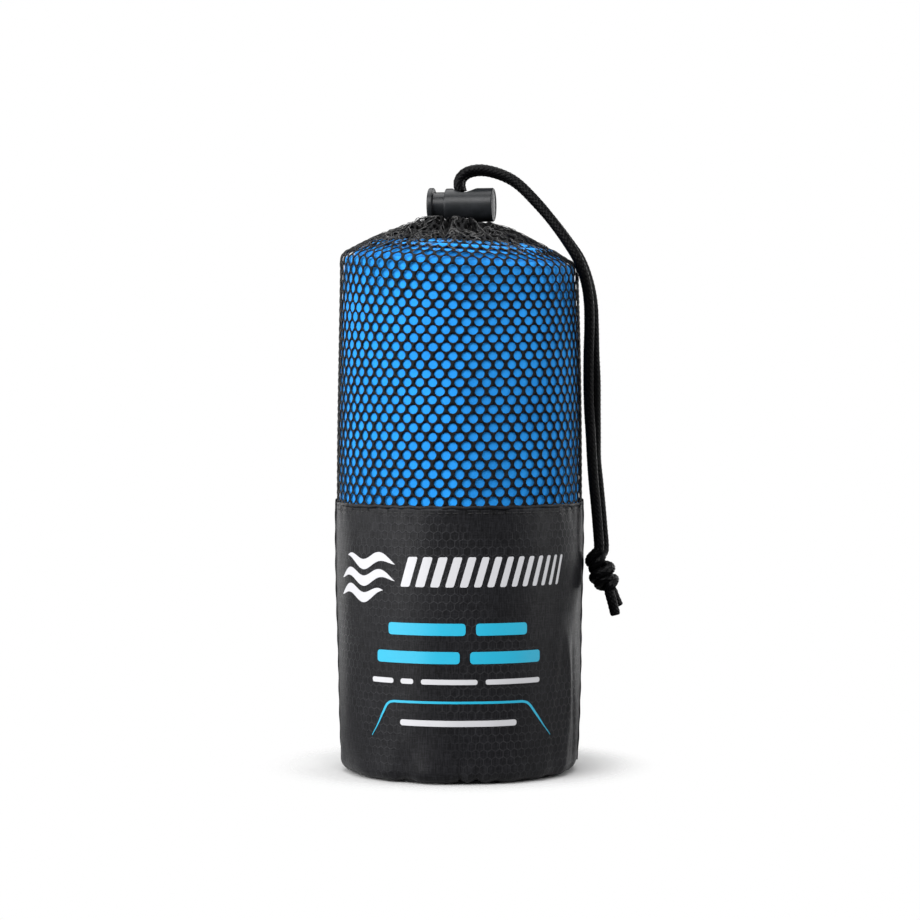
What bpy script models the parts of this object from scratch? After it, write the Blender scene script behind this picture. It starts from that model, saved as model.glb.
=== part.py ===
"""A quick-dry towel rolled up inside a drawstring travel pouch.

The frame is in metres with +Z up. The origin is the centre of the pouch's base and the printed
front faces -Y. The pouch has a nylon lower sleeve, a net upper sleeve that gathers to a neck, and a
cord that runs round a channel in the neck's hem, up through a spring-loaded toggle and down the
right side to a knot.
"""

import math

import bpy
from mathutils import Matrix, Vector

# Pouch
POUCH_RADIUS = 0.0441
WIDEST_Z = 0.080
BARREL_ABOVE = 0.0011
BARREL_ABOVE_SPAN = 0.089
BARREL_BELOW = 0.0009
BARREL_BELOW_SPAN = 0.055
CLOTH = 0.0006
BASE_CORNER = 0.0045
SLEEVE_BOTTOM = 0.0005
NYLON_TOP = 0.0962
NET_BOTTOM = 0.0968
NET_TOP = 0.1760
GAP = 0.0003

# Crown of the net, from the roll's edge to the neck
SHOULDER_RADIUS = 0.0044
SHOULDER_CENTRE = (0.0383, 0.1810)
SHOULDER_END = math.radians(70)
CROWN_NECK_RADIUS = 0.0121
CROWN_NECK_Z = 0.1966
CROWN_BULGE = 0.0014
LEAN = 0.05
LEAN_START_Z = 0.150
LEAN_FULL_Z = 0.185

# Base
BASE_RADIUS = 0.0372
BASE_THICKNESS = 0.0010
BASE_SEAM_RADIUS = 0.0364
BASE_SEAM_THREAD = 0.0006
BASE_SEAM_Z = 0.0021

# Towel roll
TOWEL_RADIUS = 0.0408
TOWEL_BOTTOM = 0.0032
TOWEL_EDGE = 0.0035
TOWEL_SHOULDER_Z = 0.1840
TOWEL_TOP = [(0.0, 0.1868), (0.0130, 0.1869), (0.0165, 0.1884), (0.0270, 0.1884), (0.0345, 0.1859)]

# Seams
BODY_SEAM_RADIUS = 0.0430
BODY_SEAM_LOW = 0.0924
BODY_SEAM_HIGH = 0.1006
SIDE_SEAM_INNER = 0.0411
SIDE_SEAM_THICKNESS = 0.0006
SIDE_SEAM_WIDTH = 0.0050
NYLON_SEAM_SPAN = (0.0160, 0.0909)
NET_SEAM_SPAN = (0.1019, 0.1700)

# Neck hem, an upturned channel that the cord runs in
HEM_OUTER = 0.0118
HEM_INNER = 0.0048
HEM_TOP = 0.1956
HEM_CORNER = 0.0008
HEM_OUTER_BOTTOM = 0.1875
HEM_INNER_BOTTOM = 0.1885
HEM_MOUTH = (0.0046, 0.0112, 0.0092)
HEM_MOUTH_CENTRE = (0.0045, 0.0, 0.1900)

# Toggle: the length runs along its own axis, which leans a little towards the front at its right
TOGGLE_CENTRE = Vector((0.0008, 0.0, 0.2032))
TOGGLE_YAW = math.radians(-10)
BARREL_RADIUS = 0.00605
BARREL_BORE = 0.00505
BARREL_OPEN = -0.00559
BARREL_CLOSED = 0.01183
BARREL_END_WALL = 0.0012
BARREL_ROUND = 0.0005
CORD_HOLE_CENTRE = 0.0012
CORD_HOLE_LENGTH = 0.0090
CORD_HOLE_WIDTH = 0.0083
PLUNGER_RADIUS = 0.00475
PLUNGER_INNER_END = 0.0046
PLUNGER_SLOT = (-0.0053, 0.00225)
PLUNGER_SLOT_WIDTH = 0.0081
FLANGE_RADIUS = 0.0063
FLANGE_FACE = -0.00993
FLANGE_BACK = -0.01183
FLANGE_ROUND = 0.0004
SPRING_RADIUS = 0.0032
SPRING_WIRE = 0.00025
SPRING_SPAN = (0.0052, 0.0100)
SPRING_TURNS = 4.5

# Cord
CORD_RADIUS = 0.00175
CORD_SEAT = -0.0002
CORD_SPREAD = 0.0019
RISER_TOP = 0.2078
STRAND_START = 0.2081
LOOP_RADIUS = 0.0082
LOOP_Z = 0.1921
LOOP_OPENING = math.radians(34)
LOOP_ENTRY = (0.0031, 0.0023, 0.1923)
LOOP_RISE = 0.0034
LOOP_STRAIGHT_Z = 0.2015
LOOP_STEPS = 14
LOOP_POINT_SPACING = 0.0024
TAIL_POINT_SPACING = 0.0030
CORD_POINT_SPACING = 0.0043
FREE_END_Z = 0.07995

STRAND_A_ROUTE = [
    (-0.00035, -0.00195, 0.2106),
    (0.00045, -0.00200, 0.2131),
    (0.00330, -0.00220, 0.2152),
    (0.00840, -0.00260, 0.2158),
    (0.01490, -0.00350, 0.2141),
    (0.02070, -0.00460, 0.2108),
    (0.02750, -0.00630, 0.2039),
    (0.03320, -0.00780, 0.1969),
    (0.03820, -0.00920, 0.1898),
    (0.04230, -0.01000, 0.1829),
    (0.04490, -0.00940, 0.1756),
    (0.04610, -0.00820, 0.1685),
    (0.04640, -0.00680, 0.1600),
    (0.04620, -0.00550, 0.1500),
    (0.04620, -0.00440, 0.1400),
    (0.04650, -0.00350, 0.1300),
    (0.04710, -0.00290, 0.1210),
    (0.04760, -0.00250, 0.1120),
    (0.04820, -0.00220, 0.1040),
    (0.04900, -0.00200, 0.0960),
    (0.04970, -0.00190, 0.0880),
    (0.05020, -0.00180, FREE_END_Z),
]
STRAND_B_ROUTE = [
    (0.00040, 0.00185, 0.2106),
    (0.00115, 0.00185, 0.2131),
    (0.00390, 0.00175, 0.2150),
    (0.00890, 0.00140, 0.2155),
    (0.01530, 0.00060, 0.2138),
    (0.02120, -0.00050, 0.2104),
    (0.02790, -0.00220, 0.2036),
    (0.03370, -0.00370, 0.1968),
    (0.03880, -0.00510, 0.1900),
    (0.04320, -0.00590, 0.1834),
    (0.04610, -0.00530, 0.1758),
    (0.04770, -0.00430, 0.1680),
    (0.04820, -0.00320, 0.1600),
    (0.04850, -0.00200, 0.1500),
    (0.04900, -0.00090, 0.1400),
    (0.04910, 0.00010, 0.1300),
    (0.04920, 0.00090, 0.1210),
    (0.04930, 0.00120, 0.1120),
    (0.05010, 0.00150, 0.1040),
    (0.05090, 0.00160, 0.0960),
    (0.05160, 0.00170, 0.0880),
    (0.05220, 0.00180, FREE_END_Z),
]
TAIL_A_ROUTE = [(0.05395, -0.0020, 0.0647), (0.0551, -0.0022, 0.0602), (0.0562, -0.0023, 0.0558)]
TAIL_B_ROUTE = [(0.05490, 0.0020, 0.0648), (0.0563, 0.0021, 0.0615), (0.0576, 0.0021, 0.0587)]
KNOT_LOBES = [
    ((0.0514, 0.0, 0.0723), (0.0056, 0.0060, 0.0073)),
    ((0.0486, 0.0, 0.0748), (0.0034, 0.0045, 0.0042)),
    ((0.0540, 0.0, 0.0692), (0.0033, 0.0050, 0.0040)),
]

POUCH_STEPS = 48
TOGGLE_STEPS = 40
BASE_STEPS = 64
BASE_SEAM_STEPS = (40, 6)
HOLE_STEPS = 32
KNOT_STEPS = (16, 10)
SPRING_STEPS = 12
MERGE = 0.00001
ORIGIN = (0.0, 0.0, 0.0)

NYLON = (0.018, 0.018, 0.020)
NET = (0.012, 0.012, 0.013)
BLUE = (0.020, 0.200, 0.560)
CORD = (0.008, 0.008, 0.008)
PLASTIC = (0.030, 0.031, 0.034)
STEEL = (0.600, 0.600, 0.610)


def material(name, colour, roughness, metallic=0.0):
    found = bpy.data.materials.get(name)
    if found:
        return found
    made = bpy.data.materials.new(name)
    made.use_nodes = True
    shader = made.node_tree.nodes["Principled BSDF"]
    shader.inputs["Base Color"].default_value = (*colour, 1.0)
    shader.inputs["Roughness"].default_value = roughness
    shader.inputs["Metallic"].default_value = metallic
    return made


def nylon():
    return material("coated_nylon", NYLON, 0.45)


def net():
    return material("net", NET, 0.8)


def towel_cloth():
    return material("towel_microfibre", BLUE, 0.9)


def braid():
    return material("braided_cord", CORD, 0.85)


def thread():
    return material("sewing_thread", NET, 0.9)


def toggle_plastic():
    return material("toggle_plastic", PLASTIC, 0.4)


def spring_steel():
    return material("spring_steel", STEEL, 0.3, 1.0)


def collection(name):
    made = bpy.data.collections.new(name)
    bpy.context.scene.collection.children.link(made)
    return made


def place(name, data, finish, location=ORIGIN, rotation=ORIGIN):
    made = bpy.data.objects.new(name, data)
    made.location = location
    made.rotation_euler = rotation
    if finish is not None:
        data.materials.append(finish)
    PARTS.objects.link(made)
    return made


def arc(centre, radius, start, end, steps):
    """Points of an arc, as (radius, height) pairs, both ends included."""
    turn = [start + (end - start) * i / steps for i in range(steps + 1)]
    return [(centre[0] + radius * math.cos(a), centre[1] + radius * math.sin(a)) for a in turn]


def outline_mesh(name, outline):
    mesh = bpy.data.meshes.new(name)
    edges = [(i, i + 1) for i in range(len(outline) - 1)]
    mesh.from_pydata([(r, 0.0, z) for r, z in outline], edges, [])
    return mesh


def turned(name, outline, finish, steps=POUCH_STEPS, wall=0.0, location=ORIGIN, rotation=ORIGIN):
    """A turned piece. The outline runs down its outer side, and a wall thickens it inwards."""
    made = place(name, outline_mesh(name, outline), finish, location, rotation)
    screw = made.modifiers.new("turn", "SCREW")
    screw.steps = steps
    screw.render_steps = steps
    screw.use_merge_vertices = True
    screw.merge_threshold = MERGE
    if wall:
        shell = made.modifiers.new("wall", "SOLIDIFY")
        shell.thickness = wall
        shell.offset = -1.0
    return made


def settled(made):
    """The object with its modifiers applied, so that its vertices can be moved."""
    seen = made.evaluated_get(bpy.context.evaluated_depsgraph_get())
    mesh = bpy.data.meshes.new_from_object(seen)
    old = made.data
    made.modifiers.clear()
    made.data = mesh
    bpy.data.meshes.remove(old)
    return made


def lean_over(made):
    """Lowers the right side of the roll's top and raises its left, as the packed towel leans."""
    for vertex in settled(made).data.vertices:
        share = (vertex.co.z - LEAN_START_Z) / (LEAN_FULL_Z - LEAN_START_Z)
        share = min(max(share, 0.0), 1.0)
        vertex.co.z -= LEAN * vertex.co.x * share * share * (3.0 - 2.0 * share)
    return made


def smooth_route(points, spacing=CORD_POINT_SPACING):
    """Points at an even spacing along a smooth curve through the given points."""
    knots = [Vector(p) for p in points]
    knots = [2 * knots[0] - knots[1], *knots, 2 * knots[-1] - knots[-2]]
    fine = []
    for a, b, c, d in zip(knots, knots[1:], knots[2:], knots[3:]):
        for i in range(24):
            t = i / 24
            bend = 2 * a - 5 * b + 4 * c - d
            twist = 3 * b - a - 3 * c + d
            fine.append(0.5 * (2 * b + (c - a) * t + bend * t**2 + twist * t**3))
    fine.append(knots[-2])
    lengths = [0.0]
    for a, b in zip(fine, fine[1:]):
        lengths.append(lengths[-1] + (b - a).length)
    count = max(2, round(lengths[-1] / spacing))
    even, at = [], 0
    for i in range(count + 1):
        wanted = lengths[-1] * i / count
        while at < len(lengths) - 2 and lengths[at + 1] < wanted:
            at += 1
        share = (wanted - lengths[at]) / (lengths[at + 1] - lengths[at])
        even.append(fine[at].lerp(fine[at + 1], share))
    return even


def tube(name, points, radius, finish, location=ORIGIN, rotation=ORIGIN):
    curve = bpy.data.curves.new(name, "CURVE")
    curve.dimensions = "3D"
    curve.bevel_depth = radius
    curve.bevel_resolution = 2
    curve.use_fill_caps = True
    spline = curve.splines.new("POLY")
    spline.points.add(len(points) - 1)
    for point, co in zip(spline.points, points):
        point.co = (*co, 1.0)
    return place(name, curve, finish, location, rotation)


def to_collection(made, target):
    for home in list(made.users_collection):
        home.objects.unlink(made)
    target.objects.link(made)


def cut(made, cutter, name):
    """Cuts one piece out of another, and hides the cutter."""
    to_collection(cutter, CUTTERS)
    cutter.name = name
    cutter.hide_render = True
    cutter.display_type = "WIRE"
    boolean = made.modifiers.new(name, "BOOLEAN")
    boolean.operation = "DIFFERENCE"
    boolean.solver = "EXACT"
    boolean.object = cutter


def pouch_radius(z):
    """The pouch's outer radius: widest a little below the middle, like a soft barrel."""
    if z > WIDEST_Z:
        return POUCH_RADIUS - BARREL_ABOVE * ((z - WIDEST_Z) / BARREL_ABOVE_SPAN) ** 2
    return POUCH_RADIUS - BARREL_BELOW * ((z - WIDEST_Z) / BARREL_BELOW_SPAN) ** 2


def wall_between(top, bottom, steps):
    heights = [top + (bottom - top) * i / steps for i in range(steps + 1)]
    return [(pouch_radius(z), z) for z in heights]


def base_panel():
    bpy.ops.mesh.primitive_cylinder_add(vertices=BASE_STEPS, radius=BASE_RADIUS, depth=BASE_THICKNESS)
    panel = bpy.context.object
    panel.name = "base_panel"
    panel.location = (0, 0, BASE_THICKNESS / 2)
    panel.data.materials.append(nylon())
    to_collection(panel, PARTS)


def base_seam():
    around, across = BASE_SEAM_STEPS
    bpy.ops.mesh.primitive_torus_add(
        major_segments=around,
        minor_segments=across,
        major_radius=BASE_SEAM_RADIUS,
        minor_radius=BASE_SEAM_THREAD,
    )
    seam = bpy.context.object
    seam.name = "base_seam"
    seam.location = (0, 0, BASE_SEAM_Z)
    seam.data.materials.append(thread())
    to_collection(seam, PARTS)


def nylon_sleeve():
    corner_z = SLEEVE_BOTTOM + BASE_CORNER
    centre = (pouch_radius(corner_z) - BASE_CORNER, corner_z)
    outline = wall_between(NYLON_TOP, corner_z, 6)[:-1] + arc(centre, BASE_CORNER, 0, -math.pi / 2, 4)
    turned("nylon_sleeve", outline, nylon(), wall=CLOTH)


def net_sleeve():
    lean_over(turned("net_sleeve", wall_between(NET_TOP, NET_BOTTOM, 5), net(), wall=CLOTH))


def crown_outline():
    """From the neck out to the roll's edge, round the shoulder and down to the net sleeve."""
    shoulder = arc(SHOULDER_CENTRE, SHOULDER_RADIUS, SHOULDER_END, 0, 4)
    start = (CROWN_NECK_RADIUS, CROWN_NECK_Z)
    slope = []
    for i in range(5):
        t = i / 5
        height = start[1] + (shoulder[0][1] - start[1]) * t + 4 * CROWN_BULGE * t * (1 - t)
        slope.append((start[0] + (shoulder[0][0] - start[0]) * t, height))
    return slope + shoulder + [(SHOULDER_CENTRE[0] + SHOULDER_RADIUS, NET_TOP + GAP)]


def net_crown():
    lean_over(turned("net_crown", crown_outline(), net(), wall=CLOTH))


def towel_roll():
    shoulder = arc(
        (TOWEL_RADIUS - TOWEL_EDGE, TOWEL_SHOULDER_Z - TOWEL_EDGE), TOWEL_EDGE, math.radians(80), 0, 3
    )
    foot = arc((TOWEL_RADIUS - TOWEL_EDGE, TOWEL_BOTTOM + TOWEL_EDGE), TOWEL_EDGE, 0, -math.pi / 2, 3)
    middle = [(TOWEL_RADIUS, (TOWEL_SHOULDER_Z + TOWEL_BOTTOM) / 2)]
    outline = TOWEL_TOP + shoulder + middle + foot + [(0.0, TOWEL_BOTTOM)]
    lean_over(turned("towel_roll", outline, towel_cloth()))


def body_seam():
    outline = [(BODY_SEAM_RADIUS, BODY_SEAM_HIGH), (BODY_SEAM_RADIUS, BODY_SEAM_LOW)]
    turned("body_seam", outline, thread(), wall=CLOTH)


def side_seam(name, side, span, finish):
    low, high = span
    bpy.ops.mesh.primitive_cube_add(size=1.0)
    seam = bpy.context.object
    seam.name = name
    size = (SIDE_SEAM_THICKNESS, SIDE_SEAM_WIDTH, high - low)
    seam.data.transform(Matrix.Diagonal((*size, 1.0)))
    seam.location = (side * (SIDE_SEAM_INNER + SIDE_SEAM_THICKNESS / 2), 0, (low + high) / 2)
    seam.data.materials.append(finish)
    to_collection(seam, PARTS)


def neck_hem():
    inner = [(HEM_INNER, HEM_INNER_BOTTOM)]
    inner += arc((HEM_INNER + HEM_CORNER, HEM_TOP - HEM_CORNER), HEM_CORNER, math.pi, math.pi / 2, 2)
    outer = arc((HEM_OUTER - HEM_CORNER, HEM_TOP - HEM_CORNER), HEM_CORNER, math.pi / 2, 0, 2)
    outer += [(HEM_OUTER, HEM_OUTER_BOTTOM)]
    hem = turned("neck_hem", inner + outer, net(), steps=TOGGLE_STEPS, wall=CLOTH)
    bpy.ops.mesh.primitive_cube_add(size=1.0, location=HEM_MOUTH_CENTRE)
    mouth = bpy.context.object
    mouth.data.transform(Matrix.Diagonal((*HEM_MOUTH, 1.0)))
    cut(hem, mouth, "hem_mouth")


def toggle_rotation():
    """Turns a piece's own +Z to point along the toggle."""
    return (0.0, math.pi / 2, TOGGLE_YAW)


def on_toggle(along, across, height):
    """A place given along and across the toggle's axis, at a height in the world."""
    flat = Matrix.Rotation(TOGGLE_YAW, 4, "Z") @ Vector((along, across, 0.0))
    return Vector((TOGGLE_CENTRE.x + flat.x, TOGGLE_CENTRE.y + flat.y, height))


def toggle_barrel():
    rim = BARREL_RADIUS - BARREL_ROUND
    closed = arc((rim, BARREL_CLOSED - BARREL_ROUND), BARREL_ROUND, math.pi / 2, 0, 3)
    mouth = arc((rim, BARREL_OPEN + BARREL_ROUND), BARREL_ROUND, 0, -math.pi / 2, 3)
    bore_end = BARREL_CLOSED - BARREL_END_WALL
    bore = [(BARREL_BORE, BARREL_OPEN), (BARREL_BORE, bore_end), (0.0, bore_end)]
    outline = [(0.0, BARREL_CLOSED)] + closed + mouth + bore
    barrel = turned(
        "toggle_barrel", outline, toggle_plastic(), TOGGLE_STEPS, 0.0, TOGGLE_CENTRE, toggle_rotation()
    )
    bpy.ops.mesh.primitive_cylinder_add(vertices=HOLE_STEPS, radius=0.5, depth=4 * BARREL_RADIUS)
    hole = bpy.context.object
    hole.data.transform(Matrix.Diagonal((CORD_HOLE_LENGTH, CORD_HOLE_WIDTH, 1.0, 1.0)))
    hole.location = on_toggle(CORD_HOLE_CENTRE, 0.0, TOGGLE_CENTRE.z)
    hole.rotation_euler = (0, 0, TOGGLE_YAW)
    cut(barrel, hole, "cord_hole")


def toggle_plunger():
    edge = FLANGE_ROUND
    shaft = [(0.0, PLUNGER_INNER_END), (PLUNGER_RADIUS, PLUNGER_INNER_END), (PLUNGER_RADIUS, FLANGE_FACE)]
    front = arc((FLANGE_RADIUS - edge, FLANGE_FACE - edge), edge, math.pi / 2, 0, 2)
    back = arc((FLANGE_RADIUS - edge, FLANGE_BACK + edge), edge, 0, -math.pi / 2, 2)
    outline = shaft + front + back + [(0.0, FLANGE_BACK)]
    plunger = turned(
        "toggle_plunger", outline, toggle_plastic(), TOGGLE_STEPS, 0.0, TOGGLE_CENTRE, toggle_rotation()
    )
    low, high = PLUNGER_SLOT
    bpy.ops.mesh.primitive_cube_add(size=1.0)
    slot = bpy.context.object
    slot.data.transform(Matrix.Diagonal((high - low, PLUNGER_SLOT_WIDTH, 4 * BARREL_RADIUS, 1.0)))
    slot.location = on_toggle((low + high) / 2, 0.0, TOGGLE_CENTRE.z)
    slot.rotation_euler = (0, 0, TOGGLE_YAW)
    cut(plunger, slot, "plunger_slot")


def toggle_spring():
    low, high = SPRING_SPAN
    count = round(SPRING_TURNS * SPRING_STEPS)
    coil = []
    for i in range(count + 1):
        turn = 2 * math.pi * SPRING_TURNS * i / count
        height = low + (high - low) * i / count
        coil.append((SPRING_RADIUS * math.cos(turn), SPRING_RADIUS * math.sin(turn), height))
    tube("toggle_spring", coil, SPRING_WIRE, spring_steel(), TOGGLE_CENTRE, toggle_rotation())


def drawcord_loop():
    """The hidden length of the cord: up to the toggle at both ends and round the hem's channel."""
    front = on_toggle(CORD_SEAT, -CORD_SPREAD, RISER_TOP)
    back = on_toggle(CORD_SEAT, CORD_SPREAD, RISER_TOP)
    x, y, z = LOOP_ENTRY
    bend_z = LOOP_Z + LOOP_RISE
    route = [front, (front.x, front.y, LOOP_STRAIGHT_Z), (front.x, front.y, bend_z), (x, -y, z)]
    for i in range(LOOP_STEPS + 1):
        angle = -LOOP_OPENING - (2 * math.pi - 2 * LOOP_OPENING) * i / LOOP_STEPS
        route.append((LOOP_RADIUS * math.cos(angle), LOOP_RADIUS * math.sin(angle), LOOP_Z))
    route += [(x, y, z), (back.x, back.y, bend_z), (back.x, back.y, LOOP_STRAIGHT_Z), back]
    tube("drawcord_loop", smooth_route(route, LOOP_POINT_SPACING), CORD_RADIUS, braid())


def drawcord_strands():
    for name, side, route in (("a", -1, STRAND_A_ROUTE), ("b", 1, STRAND_B_ROUTE)):
        start = on_toggle(CORD_SEAT, side * CORD_SPREAD, STRAND_START)
        tube("drawcord_strand_" + name, smooth_route([start, *route]), CORD_RADIUS, braid())


def drawcord_knot():
    lobes = []
    for centre, half in KNOT_LOBES:
        bpy.ops.mesh.primitive_uv_sphere_add(segments=KNOT_STEPS[0], ring_count=KNOT_STEPS[1], radius=1.0)
        lobe = bpy.context.object
        lobe.data.transform(Matrix.Diagonal((*half, 1.0)))
        lobe.location = centre
        lobes.append(lobe)
    knot = lobes[0]
    knot.name = "drawcord_knot"
    knot.data.materials.append(braid())
    to_collection(knot, PARTS)
    for number, lobe in enumerate(lobes[1:], start=1):
        cut(knot, lobe, f"knot_lobe_{number}")
        knot.modifiers[-1].operation = "UNION"


def drawcord_tails():
    tube("drawcord_tail_a", smooth_route(TAIL_A_ROUTE, TAIL_POINT_SPACING), CORD_RADIUS, braid())
    tube("drawcord_tail_b", smooth_route(TAIL_B_ROUTE, TAIL_POINT_SPACING), CORD_RADIUS, braid())


for leftover in list(bpy.data.objects):
    bpy.data.objects.remove(leftover, do_unlink=True)

PARTS = collection("quick_dry_towel")
CUTTERS = collection("cutters")

base_panel()
base_seam()
nylon_sleeve()
net_sleeve()
net_crown()
towel_roll()
body_seam()
side_seam("nylon_seam_left", -1, NYLON_SEAM_SPAN, nylon())
side_seam("nylon_seam_right", 1, NYLON_SEAM_SPAN, nylon())
side_seam("net_seam_left", -1, NET_SEAM_SPAN, net())
side_seam("net_seam_right", 1, NET_SEAM_SPAN, net())
neck_hem()
toggle_barrel()
toggle_plunger()
toggle_spring()
drawcord_loop()
drawcord_strands()
drawcord_knot()
drawcord_tails()
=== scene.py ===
"""Looks of the quick-dry towel in its drawstring pouch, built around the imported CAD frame.

Metres, +Z up, printed front towards -Y. An angle round the pouch is 0 at the front and grows
towards +X, and a cloth's own coordinates (u across, v up) are in metres.
"""
import math

import bmesh
import bpy
import numpy as np
from mathutils import Matrix, Vector


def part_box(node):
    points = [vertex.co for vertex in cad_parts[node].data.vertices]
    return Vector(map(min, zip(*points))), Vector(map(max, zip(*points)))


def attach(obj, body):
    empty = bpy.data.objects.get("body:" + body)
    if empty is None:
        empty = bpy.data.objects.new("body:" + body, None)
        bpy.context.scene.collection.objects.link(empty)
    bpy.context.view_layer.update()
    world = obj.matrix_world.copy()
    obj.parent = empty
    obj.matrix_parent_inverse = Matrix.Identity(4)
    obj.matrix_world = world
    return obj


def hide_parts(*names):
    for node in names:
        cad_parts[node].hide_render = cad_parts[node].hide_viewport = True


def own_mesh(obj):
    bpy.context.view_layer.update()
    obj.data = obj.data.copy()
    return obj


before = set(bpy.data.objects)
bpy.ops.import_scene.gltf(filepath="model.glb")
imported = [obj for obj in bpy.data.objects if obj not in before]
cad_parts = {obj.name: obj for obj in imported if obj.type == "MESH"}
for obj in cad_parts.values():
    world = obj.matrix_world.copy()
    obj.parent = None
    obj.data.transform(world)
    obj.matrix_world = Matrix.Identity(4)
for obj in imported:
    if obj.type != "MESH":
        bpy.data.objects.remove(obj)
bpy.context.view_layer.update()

MM = 0.001
TAU = 2 * math.pi


# ---------------------------------------------------------------- sizes, from the frame

SLEEVE_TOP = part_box("nylon_sleeve")[1]
POUCH_RADIUS = SLEEVE_TOP.x
SEAM_Z = SLEEVE_TOP.z
TOWEL_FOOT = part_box("towel_roll")[0].z

WIDEST_Z = 80 * MM
BARREL_ABOVE = 1.1 * MM
BARREL_ABOVE_SPAN = 89 * MM
BARREL_BELOW = 0.9 * MM
BARREL_BELOW_SPAN = 55 * MM
BASE_CORNER = 4.5 * MM

SHOULDER_CENTRE = (38.3 * MM, 181.0 * MM)
SHOULDER_RADIUS = 4.2 * MM
SHOULDER_END = math.radians(70)
NECK_RADIUS = 12.1 * MM
NECK_Z = 195.9 * MM
CROWN_BULGE = 1.4 * MM
LEAN = 0.05
LEAN_FORWARD = 0.032
LEAN_START_Z = 150 * MM
LEAN_FULL_Z = 185 * MM

TOGGLE_CENTRE = Vector((0.8 * MM, 0.0, 203.2 * MM))
TOGGLE_YAW = math.radians(-10)

CORD_DIAMETER = 3.6 * MM


def pouch_radius(z):
    """The pouch's outer radius: widest a little below the middle, like a soft barrel."""
    z = np.asarray(z, float)
    above = BARREL_ABOVE * ((z - WIDEST_Z) / BARREL_ABOVE_SPAN) ** 2
    below = BARREL_BELOW * ((z - WIDEST_Z) / BARREL_BELOW_SPAN) ** 2
    return POUCH_RADIUS - np.where(z > WIDEST_Z, above, below)


def smooth(x):
    x = np.clip(x, 0.0, 1.0)
    return x * x * (3.0 - 2.0 * x)


def lean(points):
    """How much the leaning top of the roll, lower on the right and in front, moves a point up or down."""
    x, y, z = points[..., 0], points[..., 1], points[..., 2]
    return (LEAN_FORWARD * y - LEAN * x) * smooth((z - LEAN_START_Z) / (LEAN_FULL_Z - LEAN_START_Z))


def around(angle, radius, z):
    return np.stack([radius * np.sin(angle), -radius * np.cos(angle), z + 0 * angle], axis=-1)


def ripple(angle, z, seed, most_turns, height, terms=10):
    """Smooth random unevenness from -1 to 1 that closes round the pouch."""
    rng = np.random.default_rng(seed)
    total = np.zeros(np.broadcast(angle, z).shape)
    for _ in range(terms):
        turns = rng.integers(1, most_turns + 1)
        rise = rng.normal() * TAU / height
        total = total + np.sin(turns * angle + rise * z + rng.uniform(0, TAU))
    return total / math.sqrt(terms) / 1.4


def bump_at(angle, centre, width):
    """A rounded ridge, 1 high at the centre; its half width is in degrees."""
    return np.exp(-(((angle - centre) / math.radians(width)) ** 2))


# ---------------------------------------------------------------- mesh helpers

def new_mesh(name, points, faces, uv=None, soft=True):
    """A piece from points and faces; uv gives each point's place on its flat cloth."""
    mesh = bpy.data.meshes.new(name)
    mesh.from_pydata(np.asarray(points, float).tolist(), [], [list(map(int, f)) for f in faces])
    mesh.validate()
    if uv is not None:
        layer = mesh.uv_layers.new(name="cloth")
        corner = np.empty(len(mesh.loops), int)
        mesh.loops.foreach_get("vertex_index", corner)
        layer.data.foreach_set("uv", np.asarray(uv, float)[corner].ravel())
    if soft:
        mesh.shade_smooth()
    made = bpy.data.objects.new(name, mesh)
    bpy.context.scene.collection.objects.link(made)
    return made


def weld(piece, distance=1e-6):
    """Joins points that lie on each other, and turns every face outwards."""
    work = bmesh.new()
    work.from_mesh(piece.data)
    bmesh.ops.remove_doubles(work, verts=work.verts, dist=distance)
    bmesh.ops.recalc_face_normals(work, faces=work.faces)
    work.to_mesh(piece.data)
    work.free()
    return piece


def grid_faces(rows, columns, closed=False):
    """Quads of a grid of points, row by row; closed joins the last column to the first."""
    r = np.arange(rows - 1)[:, None]
    c = np.arange(columns if closed else columns - 1)[None, :]
    d = (c + 1) % columns
    low, high = r * columns, (r + 1) * columns
    return np.stack([low + c, low + d, high + d, high + c], axis=-1).reshape(-1, 4)


def thicken(piece, thickness):
    """Gives a sheet its thickness, inwards from the side that its faces point to."""
    shell = piece.modifiers.new("cloth thickness", "SOLIDIFY")
    shell.thickness = thickness
    shell.offset = -1.0
    return piece


def smooth_line(points, spacing):
    """Points at an even spacing along a smooth curve through the given points."""
    p = np.asarray(points, float)
    p = np.vstack([2 * p[0] - p[1], p, 2 * p[-1] - p[-2]])
    t = np.linspace(0, 1, 16, endpoint=False)[:, None]
    fine = []
    for a, b, c, d in zip(p, p[1:], p[2:], p[3:]):
        bend, twist = 2 * a - 5 * b + 4 * c - d, 3 * b - a - 3 * c + d
        fine.append(0.5 * (2 * b + (c - a) * t + bend * t**2 + twist * t**3))
    fine = np.vstack(fine + [p[-2:-1]])
    return even_line(fine, spacing)


def steps_along(line):
    return np.linalg.norm(np.diff(line, axis=0), axis=1)


def run_along(line):
    """The distance from a line's start to each of its points."""
    return np.concatenate([[0], np.cumsum(steps_along(line))])


def length_of(line):
    return float(steps_along(line).sum())


def even_line(fine, spacing):
    """The same line with its points at an even spacing."""
    run = run_along(fine)
    at = np.linspace(0, run[-1], max(2, round(run[-1] / spacing)) + 1)
    return np.stack([np.interp(at, run, fine[:, k]) for k in range(3)], axis=1)


def frames_along(line):
    """A tangent and two sideways directions at each point, turning as little as they can."""
    tangent = np.gradient(line, axis=0)
    tangent /= np.linalg.norm(tangent, axis=1, keepdims=True)
    side = np.empty_like(line)
    last = np.array([0.0, 1.0, 0.0])
    for i, along in enumerate(tangent):
        last = last - along * (last @ along)
        last /= np.linalg.norm(last)
        side[i] = last
    return tangent, side, np.cross(tangent, side)


def flat_places(u, v, shape):
    """A grid's places on its flat cloth, from values that spread over the grid's shape."""
    return np.stack([np.broadcast_to(u, shape), np.broadcast_to(v, shape)], -1).reshape(-1, 2)


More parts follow.
